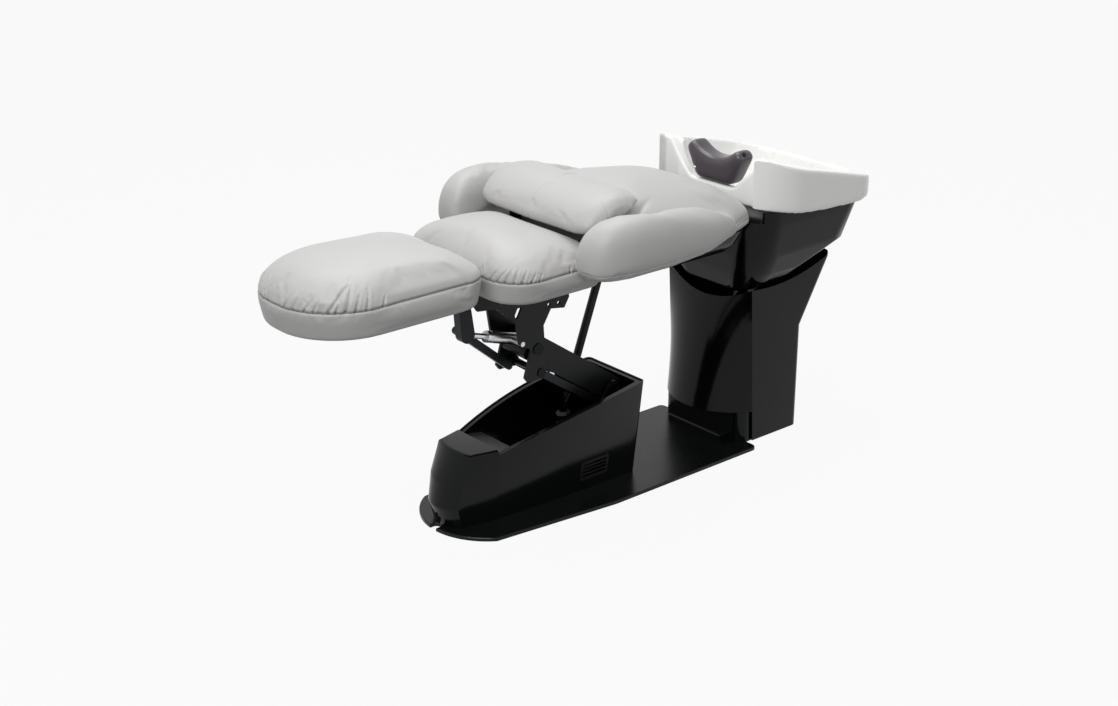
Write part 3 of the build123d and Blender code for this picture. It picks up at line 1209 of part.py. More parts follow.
# Plinth below the front cover, with a low step at the foot
with BuildPart() as pedestal_plinth:
    plinth_rear = ped_foot_x + 2 * board_margin
    with BuildSketch(Plane.XY.offset(ped_floor)) as plinth:
        with BuildLine():
            FilletPolyline(*rectangle(plinth_front, plinth_rear, plinth_half),
                           radius=[plinth_round, skin, skin, plinth_round], close=True)
        make_face()
    extrude(plinth.sketch, amount=ped_panel_low - gap - ped_floor)
    with BuildSketch(Plane.XY.offset(ped_floor)) as hollow:
        with BuildLine():
            FilletPolyline(*rectangle(plinth_front + skin, plinth_rear + skin, plinth_half - skin),
                           radius=[plinth_round - skin, skin, skin, plinth_round - skin], close=True)
        make_face()
    extrude(hollow.sketch, amount=ped_panel_low - gap - skin - ped_floor, mode=Mode.SUBTRACT)
    with BuildSketch(Plane.XY.offset(ped_floor)) as step:
        with Locations((plinth_front - step_depth / 2, 0)):
            RectangleRounded(step_depth + 2 * skin, 2 * step_half, skin)
    extrude(step.sketch, amount=step_t)
    chamfer(pedestal_plinth.edges().group_by(Axis.X)[0].sort_by(Axis.Z)[-1], skin)
save(pedestal_plinth, "pedestal_plinth")

# Service panel on the back, and the waste outlet through the rear wall
with BuildPart() as pedestal_rear_panel:
    with BuildSketch(Plane.YZ.offset(ped_rear_x)) as panel:
        with Locations((0, (panel_low + panel_high) / 2)):
            RectangleRounded(2 * panel_half, panel_high - panel_low, ped_round / 2)
        with Locations((0, waste_z)):
            Circle(waste_r + waste_collar + gap, mode=Mode.SUBTRACT)
    extrude(panel.sketch, amount=panel_t)
    chamfer(pedestal_rear_panel.faces().sort_by(Axis.X)[-1].outer_wire().edges(), panel_t / 3)
save(pedestal_rear_panel, "pedestal_rear_panel")

with BuildPart() as waste_outlet:
    trap_x = ped_rear_x - trap_r - 2 * skin
    with BuildSketch(Plane.XY.offset(trap_low)) as cup:
        with Locations((trap_x, 0)):
            Circle(trap_r)
    extrude(cup.sketch, amount=trap_high - trap_low)
    chamfer(waste_outlet.faces().sort_by(Axis.Z)[0].edges(), skin)
    with BuildSketch(Plane.YZ.offset(trap_x)) as pipe:
        with Locations((0, waste_z)):
            Circle(waste_r + waste_collar)
    extrude(pipe.sketch, amount=ped_rear_x + panel_t - trap_x)
    with BuildSketch(Plane.YZ.offset(ped_rear_x + panel_t)) as spigot:
        with Locations((0, waste_z)):
            Circle(waste_r)
    extrude(spigot.sketch, amount=waste_out)
    with BuildSketch(Plane.YZ.offset(trap_x)) as bore:
        with Locations((0, waste_z)):
            Circle(waste_r - waste_wall)
    extrude(bore.sketch, amount=ped_rear_x + panel_t + waste_out - trap_x, mode=Mode.SUBTRACT)
save(waste_outlet, "waste_outlet")
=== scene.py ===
import json
import math

import bmesh
import bpy
import numpy as np
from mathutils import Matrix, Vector


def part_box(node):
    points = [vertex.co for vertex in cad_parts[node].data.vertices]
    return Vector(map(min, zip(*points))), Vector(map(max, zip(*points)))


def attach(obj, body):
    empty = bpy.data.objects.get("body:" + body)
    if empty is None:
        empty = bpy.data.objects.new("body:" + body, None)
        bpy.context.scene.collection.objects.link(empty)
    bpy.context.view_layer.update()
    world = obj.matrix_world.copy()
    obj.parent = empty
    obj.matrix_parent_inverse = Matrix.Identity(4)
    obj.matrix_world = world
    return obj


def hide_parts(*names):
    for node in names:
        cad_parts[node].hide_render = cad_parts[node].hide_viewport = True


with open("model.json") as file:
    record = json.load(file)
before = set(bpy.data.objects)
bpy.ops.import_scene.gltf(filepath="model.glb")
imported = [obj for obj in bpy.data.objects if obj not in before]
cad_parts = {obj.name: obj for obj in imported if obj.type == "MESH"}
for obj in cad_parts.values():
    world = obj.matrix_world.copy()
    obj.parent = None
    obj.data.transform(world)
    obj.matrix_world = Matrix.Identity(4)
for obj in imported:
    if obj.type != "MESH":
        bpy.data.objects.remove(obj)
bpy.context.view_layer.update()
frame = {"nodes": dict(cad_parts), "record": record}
NODES = frame["nodes"]
SLOT_OF = {part["node"]: part["material_slot"] for part in frame["record"]["subparts"]}
MM = 0.001

# A hair washing bed: every soft piece is filled over its solid, the other solids are rounded and finished.
WELD = 0.01 * MM                 # points closer than this are one
CHUNK = 20000                    # points compared with a seam at a time

# Surface patterns
PATCH_DETAIL, WOOD_DETAIL = 3.0, 3.0
BRUSH_STRETCH = (1.0, 12.0, 1.0)  # grinding marks: narrow along Y
WOOD_WAVER = 4.0
RELIEF = 0.6                     # how strongly a grain shows

# Rounding of the rigid parts
EDGE_ANGLE, EDGE_ROUND, EDGE_STEPS = 32, 0.8 * MM, 2

# Filling of the cushions
FILL_FRAMES, FILL_PRESSURE = 20, 4.0
HELD_RISE = 4 * MM               # the lowest part of a cover is stapled to its board
RELAX_FACTOR = 0.5
SEAM_STEP, BACK_SEAM_STEP = 4 * MM, 8 * MM
SEAM_ROUNDS = 3
MIN_SEAM_POINTS = 8

# Gathers above a seam
CREASE_SLANT, CREASE_SLANT_SWING = 0.8, 0.3
CREASE_DEPTH, CREASE_WIDTH = 3.8 * MM, 3.2 * MM
CREASE_FADE = 0.6                # below 1, a crease stays deep for most of its length
CREASE_WIDTH_BASE, CREASE_WIDTH_LENGTH = 0.8, 160
RIDGE_SHARE, RIDGE_REACH = 0.4, 2.2   # a crease pushes up a ridge on each side

# Thread and cord
CORD_STEPS = 2
THREAD_SIDES, THREAD_RINGS = 6, 3


# Colours and shader nodes
def linear(code):
    """Linear colour, with alpha, of an sRGB hex value."""
    values = [int(code[i:i + 2], 16) / 255 for i in (1, 3, 5)]
    return [v / 12.92 if v <= 0.04045 else ((v + 0.055) / 1.055) ** 2.4 for v in values] + [1.0]


def add(tree, kind, inputs=None, **settings):
    """One node with its settings, and its inputs: each a value, or the socket that feeds it."""
    item = tree.nodes.new(kind)
    for key, value in settings.items():
        setattr(item, key, value)
    for key, value in (inputs or {}).items():
        if isinstance(value, bpy.types.NodeSocket):
            tree.links.new(value, item.inputs[key])
        else:
            item.inputs[key].default_value = value
    return item


def finish(name, base, second, patch_mm, grain_mm, grain_height_mm, rough, rough_swing=0.0, kind="noise",
           **shader):
    """A procedural finish: two tones in soft patches, a roughness that varies, and a grain in relief."""
    material = bpy.data.materials.new(name)
    material.use_nodes = True
    tree = material.node_tree
    bsdf = tree.nodes["Principled BSDF"]
    place = add(tree, "ShaderNodeTexCoord").outputs["Object"]
    fine = 1 / (grain_mm * MM)
    patches = add(tree, "ShaderNodeTexNoise", {"Vector": place, "Scale": 1 / (patch_mm * MM),
                                               "Detail": PATCH_DETAIL})
    tones = add(tree, "ShaderNodeMix", {"Factor": patches.outputs["Fac"], "A": linear(base),
                                        "B": linear(second)}, data_type="RGBA")
    tree.links.new(tones.outputs["Result"], bsdf.inputs["Base Color"])
    if kind == "pebble":
        grain = add(tree, "ShaderNodeTexVoronoi", {"Vector": place, "Scale": fine},
                    feature="SMOOTH_F1").outputs["Distance"]
    elif kind == "brushed":
        along = add(tree, "ShaderNodeMapping", {"Vector": place, "Scale": BRUSH_STRETCH}).outputs["Vector"]
        grain = add(tree, "ShaderNodeTexNoise", {"Vector": along, "Scale": fine}).outputs["Fac"]
    elif kind == "wood":
        grain = add(tree, "ShaderNodeTexWave", {"Vector": place, "Scale": fine, "Distortion": WOOD_WAVER,
                                                "Detail": WOOD_DETAIL}, bands_direction="Z").outputs["Fac"]
        tree.links.new(grain, tones.inputs["Factor"])
    else:
        grain = add(tree, "ShaderNodeTexNoise", {"Vector": place, "Scale": fine}).outputs["Fac"]
    bump = add(tree, "ShaderNodeBump", {"Height": grain, "Distance": grain_height_mm * MM,
                                        "Strength": RELIEF})
    tree.links.new(bump.outputs["Normal"], bsdf.inputs["Normal"])
    if rough_swing:
        spread = add(tree, "ShaderNodeMapRange", {"Value": patches.outputs["Fac"],
                                                  "To Min": rough - rough_swing,
                                                  "To Max": rough + rough_swing})
        tree.links.new(spread.outputs["Result"], bsdf.inputs["Roughness"])
    else:
        bsdf.inputs["Roughness"].default_value = rough
    for key, value in shader.items():
        bsdf.inputs[key.replace("_", " ")].default_value = value
    return material


FINISHES = {
    # Polyurethane coated upholstery leather, embossed: a soft sheen and a fine pebble, drawn 3 mm wide
    # so that it shows
    "light_hide": finish("pu_leather_light_grey", "#b9b8b7", "#b0b0af", 160, 3.0, 0.10, 0.5, 0.05, "pebble",
                         Sheen_Weight=0.12, Specular_IOR_Level=0.4),
    # Polyester thread and cord in the seams, dark grey as painted shade: the thin dark line round each
    # cushion is the shade of the seam groove, painted on
    "welt": finish("cord_grey_painted_seam_shade", "#6f706f", "#7a7b7a", 20, 1.2, 0.05, 0.7),
    # ABS, injection moulded and polished: deep black with sharp reflections and a faint orange peel
    "black_shell": finish("abs_gloss_black", "#080b0a", "#0c0f0e", 220, 26.0, 0.10, 0.15, 0.03,
                          Specular_IOR_Level=0.16),
    # Steel under satin powder coat: a fine even grit that dulls the reflections
    "black_coat": finish("powder_coat_black", "#0b0d0d", "#101212", 60, 1.6, 0.12, 0.38, 0.05,
                         Specular_IOR_Level=0.2),
    # Steel plate under sprayed enamel: glossy with slow waves
    "plate_coat": finish("enamel_black", "#0a0c0c", "#0f1111", 180, 34.0, 0.12, 0.26, 0.05,
                         Specular_IOR_Level=0.2),
    # ABS, moulded against a spark-eroded tool: an even matt grey
    "grey_panel": finish("abs_satin_grey", "#4a4b4a", "#525352", 80, 1.4, 0.10, 0.45, Specular_IOR_Level=0.3),
    # Polypropylene, moulded: dark and matt
    "vent_grey": finish("polypropylene_dark_grey", "#0c0e0d", "#101211", 70, 1.4, 0.10, 0.52,
                        Specular_IOR_Level=0.2),
    # Steel, ground on centres: bright, with fine rings
    "bright_steel": finish("ground_steel", "#bfc0c2", "#b2b3b5", 40, 1.2, 0.03, 0.26, kind="brushed",
                           Metallic=1.0),
    # Steel pins under black oxide: almost black, with a dull gleam
    "dark_steel": finish("black_oxide_steel", "#1b1c1d", "#222324", 30, 1.2, 0.03, 0.42, Metallic=1.0),
    # Steel tube under black zinc plating: dark, softly cloudy
    "steel_tube": finish("black_zinc_plated_steel", "#26282a", "#303234", 30, 2.0, 0.03, 0.4, 0.06,
                         Metallic=1.0),
    # Aluminium, turned: pale with fine tool lines
    "motor_alloy": finish("turned_aluminium", "#cfd0d2", "#c3c4c6", 30, 1.2, 0.04, 0.3, kind="brushed",
                          Metallic=1.0),
    # Aluminium, die cast and tumbled: dark and slightly rough
    "gear_alloy": finish("die_cast_aluminium", "#2c2d2f", "#242527", 25, 1.6, 0.12, 0.45, Metallic=1.0),
    # Birch plywood, coloured near black as painted shade under the cushions: the plies just show at the edge
    "plywood": finish("birch_plywood_dark_as_painted_shade", "#15120f", "#1f1a15", 60, 5.0, 0.05, 0.62, kind="wood",
                      Specular_IOR_Level=0.2),
    # Sanitary porcelain: white glaze over clay, with slow waves in its reflections
    "porcelain": finish("glazed_porcelain", "#f3f3f1", "#f0f0ee", 300, 60.0, 0.08, 0.1, Coat_Weight=0.5,
                        Coat_Roughness=0.03),
    # Polyurethane gel, cast: dark grey violet with a soft shine
    "soft_rubber": finish("cast_gel_rubber", "#3d373c", "#463f45", 40, 2.4, 0.06, 0.3, 0.04),
    # Chromium on polished steel: mirror bright
    "chrome_trim": finish("chromium_plate", "#dcdddf", "#d5d6d8", 60, 8.0, 0.01, 0.07, Metallic=1.0),
    # Polypropylene pipe, extruded: plain white
    "drain_plastic": finish("polypropylene_white", "#d9d9d6", "#d2d2cf", 60, 2.0, 0.05, 0.42),
}


# Mesh helpers
def new_piece(name, mesh):
    """An object of the scene with this mesh or curve."""
    piece = bpy.data.objects.new(name, mesh)
    bpy.context.scene.collection.objects.link(piece)
    return piece


def copy_of(name, nodes, edit=None):
    """One welded mesh of some CAD nodes. edit may move the vertices of each."""
    shape = bmesh.new()
    for node in nodes:
        start = len(shape.verts)
        shape.from_mesh(NODES[node].data)
        shape.verts.ensure_lookup_table()
        if edit:
            for vert in shape.verts[start:]:
                edit(node, vert.co)
    bmesh.ops.remove_doubles(shape, verts=shape.verts, dist=WELD)
    mesh = bpy.data.meshes.new(name)
    shape.to_mesh(mesh)
    shape.free()
    return new_piece(name, mesh)


def settle(piece):
    """Applies the piece's modifiers to its mesh."""
    depsgraph = bpy.context.evaluated_depsgraph_get()
    depsgraph.update()
    mesh = bpy.data.meshes.new_from_object(piece.evaluated_get(depsgraph))
    piece.modifiers.clear()
    old = piece.data
    piece.data = mesh
    bpy.data.meshes.remove(old)


def points_of(mesh):
    """The mesh's vertices as rows."""
    values = np.zeros(len(mesh.vertices) * 3)
    mesh.vertices.foreach_get("co", values)
    return values.reshape(-1, 3)


def put_points(mesh, values):
    """Moves the mesh's vertices to these rows."""
    mesh.vertices.foreach_set("co", np.asarray(values).ravel())
    mesh.update()


def normals_of(mesh):
    """The direction out of the mesh at each vertex."""
    values = np.zeros(len(mesh.vertices) * 3)
    mesh.vertices.foreach_get("normal", values)
    return values.reshape(-1, 3)


def slacken(piece, rounds, factor=RELAX_FACTOR):
    """Evens the piece out, with no change until it is settled."""
    relax = piece.modifiers.new("Relax", "SMOOTH")
    relax.iterations, relax.factor = rounds, factor


def skin_over(piece, voxel_mm, rounds, factor=RELAX_FACTOR):
    """An even closed skin over the piece, relaxed a number of rounds."""
    remesh = piece.modifiers.new("Skin", "REMESH")
    remesh.mode, remesh.voxel_size = "VOXEL", voxel_mm * MM
    slacken(piece, rounds, factor)
    settle(piece)


def puff(piece, cap_mm, held_below):
    """Fills the cover with pressure as cloth, holding what lies on the board."""
    mesh = piece.data
    before = points_of(mesh)
    held = piece.vertex_groups.new(name="Held")
    held.add([int(i) for i in np.nonzero(before[:, 2] < held_below)[0]], 1.0, "REPLACE")
    cloth = piece.modifiers.new("Fill", "CLOTH")
    cloth.settings.use_pressure = True
    cloth.settings.uniform_pressure_force = FILL_PRESSURE
    cloth.settings.effector_weights.gravity = 0.0
    cloth.settings.vertex_group_mass = held.name
    for step in range(1, FILL_FRAMES + 1):
        bpy.context.scene.frame_set(step)
    depsgraph = bpy.context.evaluated_depsgraph_get()
    result = piece.evaluated_get(depsgraph).to_mesh()
    after = points_of(result)
    piece.evaluated_get(depsgraph).to_mesh_clear()
    piece.modifiers.clear()
    piece.vertex_groups.clear()
    bpy.context.scene.frame_set(1)
    shift = after - before
    length = np.linalg.norm(shift, axis=1, keepdims=True)
    limit = np.minimum(1.0, cap_mm * MM / np.maximum(length, 1e-9))
    put_points(mesh, before + shift * limit)


def refine(piece):
    """One level of subdivision, applied."""
    smooth = piece.modifiers.new("Smooth", "SUBSURF")
    smooth.levels = smooth.render_levels = 1
    settle(piece)
    piece.data.shade_smooth()


def place_of(edge):
    """Where an edge lies, to put edges in the same order on every run."""
    return tuple(sorted(tuple(vert.co) for vert in edge.verts))


def outline(piece, point, normal):
    """Ordered outline of the piece in a plane: the longest loop."""
    cut = bmesh.new()
    cut.from_mesh(piece.data)
    geometry = cut.verts[:] + cut.edges[:] + cut.faces[:]
    made = bmesh.ops.bisect_plane(cut, geom=geometry, plane_co=point, plane_no=normal)
    edges = [item for item in made["geom_cut"] if isinstance(item, bmesh.types.BMEdge)]
    left = dict.fromkeys(sorted(edges, key=place_of))
    loops = []
    while left:
        edge = next(iter(left))
        del left[edge]
        chain = sorted(edge.verts, key=lambda vert: tuple(vert.co))
        while True:
            onward = next((e for e in chain[-1].link_edges if e in left), None)
            if onward is None:
                break
            del left[onward]
            chain.append(onward.other_vert(chain[-1]))
        loops.append([vert.co.copy() for vert in chain])
    cut.free()
    loops.sort(key=lambda loop: sum((b - a).length for a, b in zip(loop, loop[1:])))
    return loops[-1]


def even_path(points, spacing):
    """A closed path at even spacing, smoothed a little."""
    path = np.array([list(p) for p in points])
    if np.linalg.norm(path[0] - path[-1]) < 1e-6:
        path = path[:-1]
    ring = np.vstack([path, path[:1]])
    reach = np.concatenate([[0], np.cumsum(np.linalg.norm(np.diff(ring, axis=0), axis=1))])
    count = max(int(reach[-1] / spacing), MIN_SEAM_POINTS)
    stations = np.linspace(0, reach[-1], count, endpoint=False)
    even = np.stack([np.interp(stations, reach, ring[:, k]) for k in range(3)], 1)
    for _ in range(SEAM_ROUNDS):
        even = (np.roll(even, 1, 0) + 2 * even + np.roll(even, -1, 0)) / 4
    return even


def closed_curves(name, paths):
    """An object with one closed curve for each path."""
    curve = bpy.data.curves.new(name, "CURVE")
    curve.dimensions = "3D"
    for path in paths:
        line = curve.splines.new("POLY")
        line.points.add(len(path) - 1)
        for point, place in zip(line.points, path):
            point.co = (*place, 1.0)
        line.use_cyclic_u = True
    return new_piece(name + "_path", curve)


def mesh_of(carrier, name):
    """Turns a curve object, with what its modifiers make of it, into a piece of mesh."""
    depsgraph = bpy.context.evaluated_depsgraph_get()
    mesh = bpy.data.meshes.new_from_object(carrier.evaluated_get(depsgraph))
    bpy.data.objects.remove(carrier)
    mesh.name = name
    return new_piece(name, mesh)


def cord_mesh(name, path, radius):
    """A round cord of mesh along a closed path, as a welt."""
    carrier = closed_curves(name, [path])
    carrier.data.bevel_depth, carrier.data.bevel_resolution = radius, CORD_STEPS
    cord = mesh_of(carrier, name)
    cord.data.shade_smooth()
    return cord


def sew_groove(piece, height, depth_mm, width_mm):
    """Draws the cover in along a seam that runs level round the piece."""
    mesh = piece.data
    place, out = points_of(mesh), normals_of(mesh)
    flat = out.copy()
    flat[:, 2] = 0
    flat /= np.maximum(np.linalg.norm(flat, axis=1, keepdims=True), 1e-6)
    pull = np.exp(-((place[:, 2] - height) / (width_mm * MM)) ** 2) * depth_mm * MM
    put_points(mesh, place - flat * pull[:, None])


def gather(piece, height, path, creases):
    """Creases up from a level seam: each is an angle about the seam's middle, and a length in mm."""
    mesh = piece.data
    place, out = points_of(mesh), normals_of(mesh)
    middle = (path.min(0) + path.max(0)) / 2
    turns = np.degrees(np.arctan2(path[:, 1] - middle[1], path[:, 0] - middle[0]))
    step = np.linalg.norm(path[1] - path[0])
    above = np.nonzero((place[:, 2] > height - 1 * MM))[0]
    spots = place[above]
    nearest, reach = np.zeros(len(above), int), np.zeros(len(above))
    for start in range(0, len(above), CHUNK):
        gap = np.linalg.norm(spots[start:start + CHUNK, None, :2] - path[None, :, :2], axis=2)
        nearest[start:start + CHUNK] = gap.argmin(1)
        reach[start:start + CHUNK] = gap.min(1)
    reach = np.hypot(reach, np.maximum(spots[:, 2] - height, 0))
    shift = np.zeros(len(above))
    for turn, length in creases:
        root = np.abs((turns - turn + 180) % 360 - 180).argmin()
        off = (nearest - root + len(path) // 2) % len(path) - len(path) // 2
        headward = math.copysign(1, path[(root + 1) % len(path)][0] - path[root][0])
        lean = CREASE_SLANT * (1 - CREASE_SLANT_SWING + CREASE_SLANT_SWING * math.sin(turn))
        across = off * step - headward * lean * reach
        fade = np.clip(1 - reach / (length * MM), 0, 1) ** CREASE_FADE
        width = CREASE_WIDTH * (CREASE_WIDTH_BASE + length / CREASE_WIDTH_LENGTH)
        shift -= fade * np.exp(-(across / width) ** 2)
        ridge = (np.abs(across) - RIDGE_REACH * width) / width
        shift += RIDGE_SHARE * fade * np.exp(-ridge ** 2)
    place[above] += out[above] * (shift * CREASE_DEPTH)[:, None]
    put_points(mesh, place)


def row_of_stitches(name, paths, spacing, length, radius):
    """Stitches at even spacing along closed paths, made with geometry nodes and turned into a mesh."""
    tree = bpy.data.node_groups.new(name + "_nodes", "GeometryNodeTree")
    tree.interface.new_socket("Geometry", in_out="INPUT", socket_type="NodeSocketGeometry")
    sizes = {}
    for label, value in (("Spacing", spacing), ("Length", length), ("Radius", radius)):
        socket = tree.interface.new_socket(label, in_out="INPUT", socket_type="NodeSocketFloat")
        socket.default_value = value
        sizes[label] = (socket.identifier, value)
    tree.interface.new_socket("Geometry", in_out="OUTPUT", socket_type="NodeSocketGeometry")
    given = tree.nodes.new("NodeGroupInput").outputs
    dots = add(tree, "GeometryNodeResampleCurve", {"Curve": given["Geometry"], "Length": given["Spacing"]},
               mode="LENGTH")
    way = add(tree, "GeometryNodeInputTangent")
    turn = add(tree, "FunctionNodeAlignRotationToVector", {"Vector": way.outputs["Tangent"]}, axis="Z")
    thread = add(tree, "GeometryNodeMeshCylinder", {"Vertices": THREAD_SIDES, "Side Segments": THREAD_RINGS,
                                                    "Radius": given["Radius"], "Depth": given["Length"]})
    placed = add(tree, "GeometryNodeInstanceOnPoints", {"Points": dots.outputs["Curve"],
                                                        "Instance": thread.outputs["Mesh"],
                                                        "Rotation": turn.outputs["Rotation"]})
    real = add(tree, "GeometryNodeRealizeInstances", {"Geometry": placed.outputs["Instances"]})
    dressed = add(tree, "GeometryNodeSetMaterial", {"Geometry": real.outputs["Geometry"],
                                                    "Material": FINISHES["light_hide"]})
    out = tree.nodes.new("NodeGroupOutput")
    tree.links.new(dressed.outputs["Geometry"], out.inputs["Geometry"])
    carrier = closed_curves(name, paths)
    sewing = carrier.modifiers.new("Sewing", "NODES")
    sewing.node_group = tree
    for identifier, value in sizes.values():
        sewing[identifier] = value
    return mesh_of(carrier, name)


def dress(piece, slot, body, replaces=()):
    """Finish, body and the CAD nodes that a piece stands for."""
    piece.data.materials.clear()
    piece.data.materials.append(FINISHES[slot])
    if replaces:
        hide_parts(*replaces)
    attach(piece, body)


# Carried-over CAD nodes: their finish, rounded edges and smooth curves
for name, node in NODES.items():
    node.data.materials.clear()
    node.data.materials.append(FINISHES["dark_steel" if name.endswith("pin") else SLOT_OF[name]])
    if "custom_normal" in node.data.attributes:
        node.data.attributes.remove(node.data.attributes["custom_normal"])
    node.data.polygons.foreach_set("use_smooth", [True] * len(node.data.polygons))
    join = node.modifiers.new("Join", "WELD")
    join.merge_threshold = WELD
    rounding = node.modifiers.new("Rounding", "BEVEL")
    rounding.limit_method, rounding.angle_limit = "ANGLE", math.radians(EDGE_ANGLE)
    rounding.segments, rounding.width = EDGE_STEPS, EDGE_ROUND
    rounding.harden_normals = True
    rounding.use_clamp_overlap = True


# Cushions over boards
UNDERSIDE = 1 * MM               # what lies within this of a cushion's lowest point is its underside
PAD_VOXEL_MM, PAD_ROUNDS, PAD_SETTLE_ROUNDS = 5.0, 12, 4
PAD_GROOVE_MM, PAD_GROOVE_WIDTH_MM = 4.0, 3.4
WELT_RADIUS = 1.5 * MM


def over_board(cushion, board, lean):
    """Edit that draws a cushion's flank down over its board, leaning in towards the foot."""
    low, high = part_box(cushion)
    foot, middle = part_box(board)[0].z, (low + high) / 2

    def edit(node, place):
        if place.z < low.z + UNDERSIDE:
            place.z = foot
            place.x += (middle.x - place.x) * lean
            place.y *= 1 - lean
    return edit


def level_pad(name, cushion, board, body, seam_rise_mm, cap_mm, lean, creases):
    """A cushion over its board, with a level seam, a welt sewn into it in dark grey as painted seam shade,
    and gathers above it.
    """
    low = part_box(cushion)[0]
    seam_z = low.z + seam_rise_mm * MM
    pad = copy_of(name, [cushion], over_board(cushion, board, lean))
    skin_over(pad, PAD_VOXEL_MM, PAD_ROUNDS)
    puff(pad, cap_mm, low.z + HELD_RISE)
    slacken(pad, PAD_SETTLE_ROUNDS)
    refine(pad)
    path = even_path(outline(pad, (0, 0, seam_z), (0, 0, 1)), SEAM_STEP)
    sew_groove(pad, seam_z, PAD_GROOVE_MM, PAD_GROOVE_WIDTH_MM)
    gather(pad, seam_z, path, creases)
    seam = even_path(outline(pad, (0, 0, seam_z), (0, 0, 1)), SEAM_STEP)
    welt = cord_mesh(name + "_welt", seam, WELT_RADIUS)
    dress(welt, "light_hide", body)
    # the welt takes the dark grey finish that paints the shade in the seam
    welt.data.materials[0] = FINISHES["welt"]
    dress(pad, "light_hide", body, [cushion, board])


level_pad("legrest_pad", "legrest_cushion", "legrest_board", "legrest", 61, 7, 0.035,
          [(-170, 44), (-164, 92), (-157, 40), (-151, 34), (-143, 104), (-139, 66), (-134, 92), (-128, 50),
           (-121, 62), (-110, 32), (172, 40), (160, 62), (147, 44), (133, 70), (120, 36)])
level_pad("seat_pad", "seat_cushion", "seat_board", "seat", 48, 7, 0.03,
          [(-146, 26), (-141, 34), (-136, 40), (-131, 46), (-126, 42), (-121, 44), (-116, 36), (-111, 30),
           (-106, 22), (-82, 20), (-75, 28), (-68, 22), (141, 34), (131, 44), (120, 36), (109, 24)])


# Backrest: one cover over the centre pad and both wings
WING_INNER = 0.258               # the wings' inner walls stand nearer the middle than this
WING_OVERLAP = 8 * MM
BACK_VOXEL_MM, BACK_ROUNDS, BACK_CAP_MM = 8.0, 60, 8
BACK_SEAM_RISE, BACK_WELT_RADIUS = 19 * MM, 2.6 * MM
BACK_GROOVE_MM, BACK_GROOVE_WIDTH_MM = 2.2, 3.2


def wings_in(node, place):
    """Moves the wings' inner walls into the pad, and the pad over its board, for one skin round all."""
    if "wing" in node and abs(place.y) < WING_INNER:
        place.y -= math.copysign(WING_OVERLAP, place.y)
    if node == "back_pad" and place.z < low.z + UNDERSIDE:
        place.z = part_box("back_board")[0].z


def back_to_box(piece, low, high):
    """Scales a relaxed piece back to the box that it came from."""
    values = points_of(piece.data)
    least, most = values.min(0), values.max(0)
    share = (values - least) / (most - least)
    put_points(piece.data, np.array(low) + share * (np.array(high) - np.array(low)))


back_nodes = ["back_pad", "back_wing_near", "back_wing_far"]
low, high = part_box("back_pad")
back_seam = low.z + BACK_SEAM_RISE
back_cover = copy_of("back_cover", back_nodes, wings_in)
before = points_of(back_cover.data)
skin_over(back_cover, BACK_VOXEL_MM, BACK_ROUNDS)
back_to_box(back_cover, before.min(0), before.max(0))
puff(back_cover, BACK_CAP_MM, low.z + HELD_RISE)
refine(back_cover)
sew_groove(back_cover, back_seam, BACK_GROOVE_MM, BACK_GROOVE_WIDTH_MM)
path = even_path(outline(back_cover, (0, 0, back_seam), (0, 0, 1)), BACK_SEAM_STEP)
back_welt = cord_mesh("back_welt", path, BACK_WELT_RADIUS)
dress(back_welt, "light_hide", "back")
dress(back_cover, "light_hide", "back", back_nodes + ["back_board"])

# Lumbar pillow: a soft bar with a seam round its middle and gathered ends
PILLOW_VOXEL_MM, PILLOW_ROUNDS, PILLOW_CAP_MM = 6.0, 14, 6
PILLOW_SEAM, PILLOW_SEAM_WIDTH = 3.0 * MM, 3.4 * MM
PLEATS, PLEAT_STEP, PLEAT_STRAY, PLEAT_BEAT = 9, 11 * MM, 3 * MM, 5.3
PLEAT_REACH, PLEAT_REACH_SWING, PLEAT_REACH_BEAT = 26, 12, 3.7
PLEAT_FADE, PLEAT_WIDTH, PLEAT_DEPTH = 24 * MM, 3.0 * MM, 2.2 * MM

low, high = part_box("pillow")
lumbar_pillow = copy_of("lumbar_pillow", ["pillow"])
skin_over(lumbar_pillow, PILLOW_VOXEL_MM, PILLOW_ROUNDS)
puff(lumbar_pillow, PILLOW_CAP_MM, low.z - HELD_RISE)    # nothing lies so low, so nothing is held
refine(lumbar_pillow)
mesh = lumbar_pillow.data
place, out = points_of(mesh), normals_of(mesh)
crease = np.exp(-(place[:, 1] / PILLOW_SEAM_WIDTH) ** 2) * PILLOW_SEAM
ends = np.zeros(len(place))
for k in range(-PLEATS, PLEATS + 1):
    spot = k * PLEAT_STEP + PLEAT_STRAY * math.sin(PLEAT_BEAT * k)
    across = place[:, 0] - (low.x + high.x) / 2 - spot
    root = high.y - (PLEAT_REACH + PLEAT_REACH_SWING * math.sin(PLEAT_REACH_BEAT * k)) * MM
    fade = np.clip((np.abs(place[:, 1]) - root) / PLEAT_FADE, 0, 1)
    ends += fade * np.exp(-(across / PLEAT_WIDTH) ** 2)
put_points(mesh, place - out * (crease + ends * PLEAT_DEPTH)[:, None])
dress(lumbar_pillow, "light_hide", "pillow", ["pillow"])

# Twin stitching beside the pillow's middle seam
STITCH_ROW_GAP, STITCH_STEP, STITCH_LENGTH, STITCH_RADIUS = 5 * MM, 6.5 * MM, 4.2 * MM, 0.45 * MM
rows = [even_path(outline(lumbar_pillow, (0, way * STITCH_ROW_GAP, 0), (0, 1, 0)), SEAM_STEP)
        for way in (-1, 1)]
pillow_stitches = row_of_stitches("pillow_stitches", rows, STITCH_STEP, STITCH_LENGTH, STITCH_RADIUS)
dress(pillow_stitches, "light_hide", "pillow")

# Basin: porcelain, its edges drawn round by the glaze
CORNER = 0.17
GLAZE_VOXEL_MM, GLAZE_ROUNDS, GLAZE_SETTLE_ROUNDS = 4.0, 6, 22


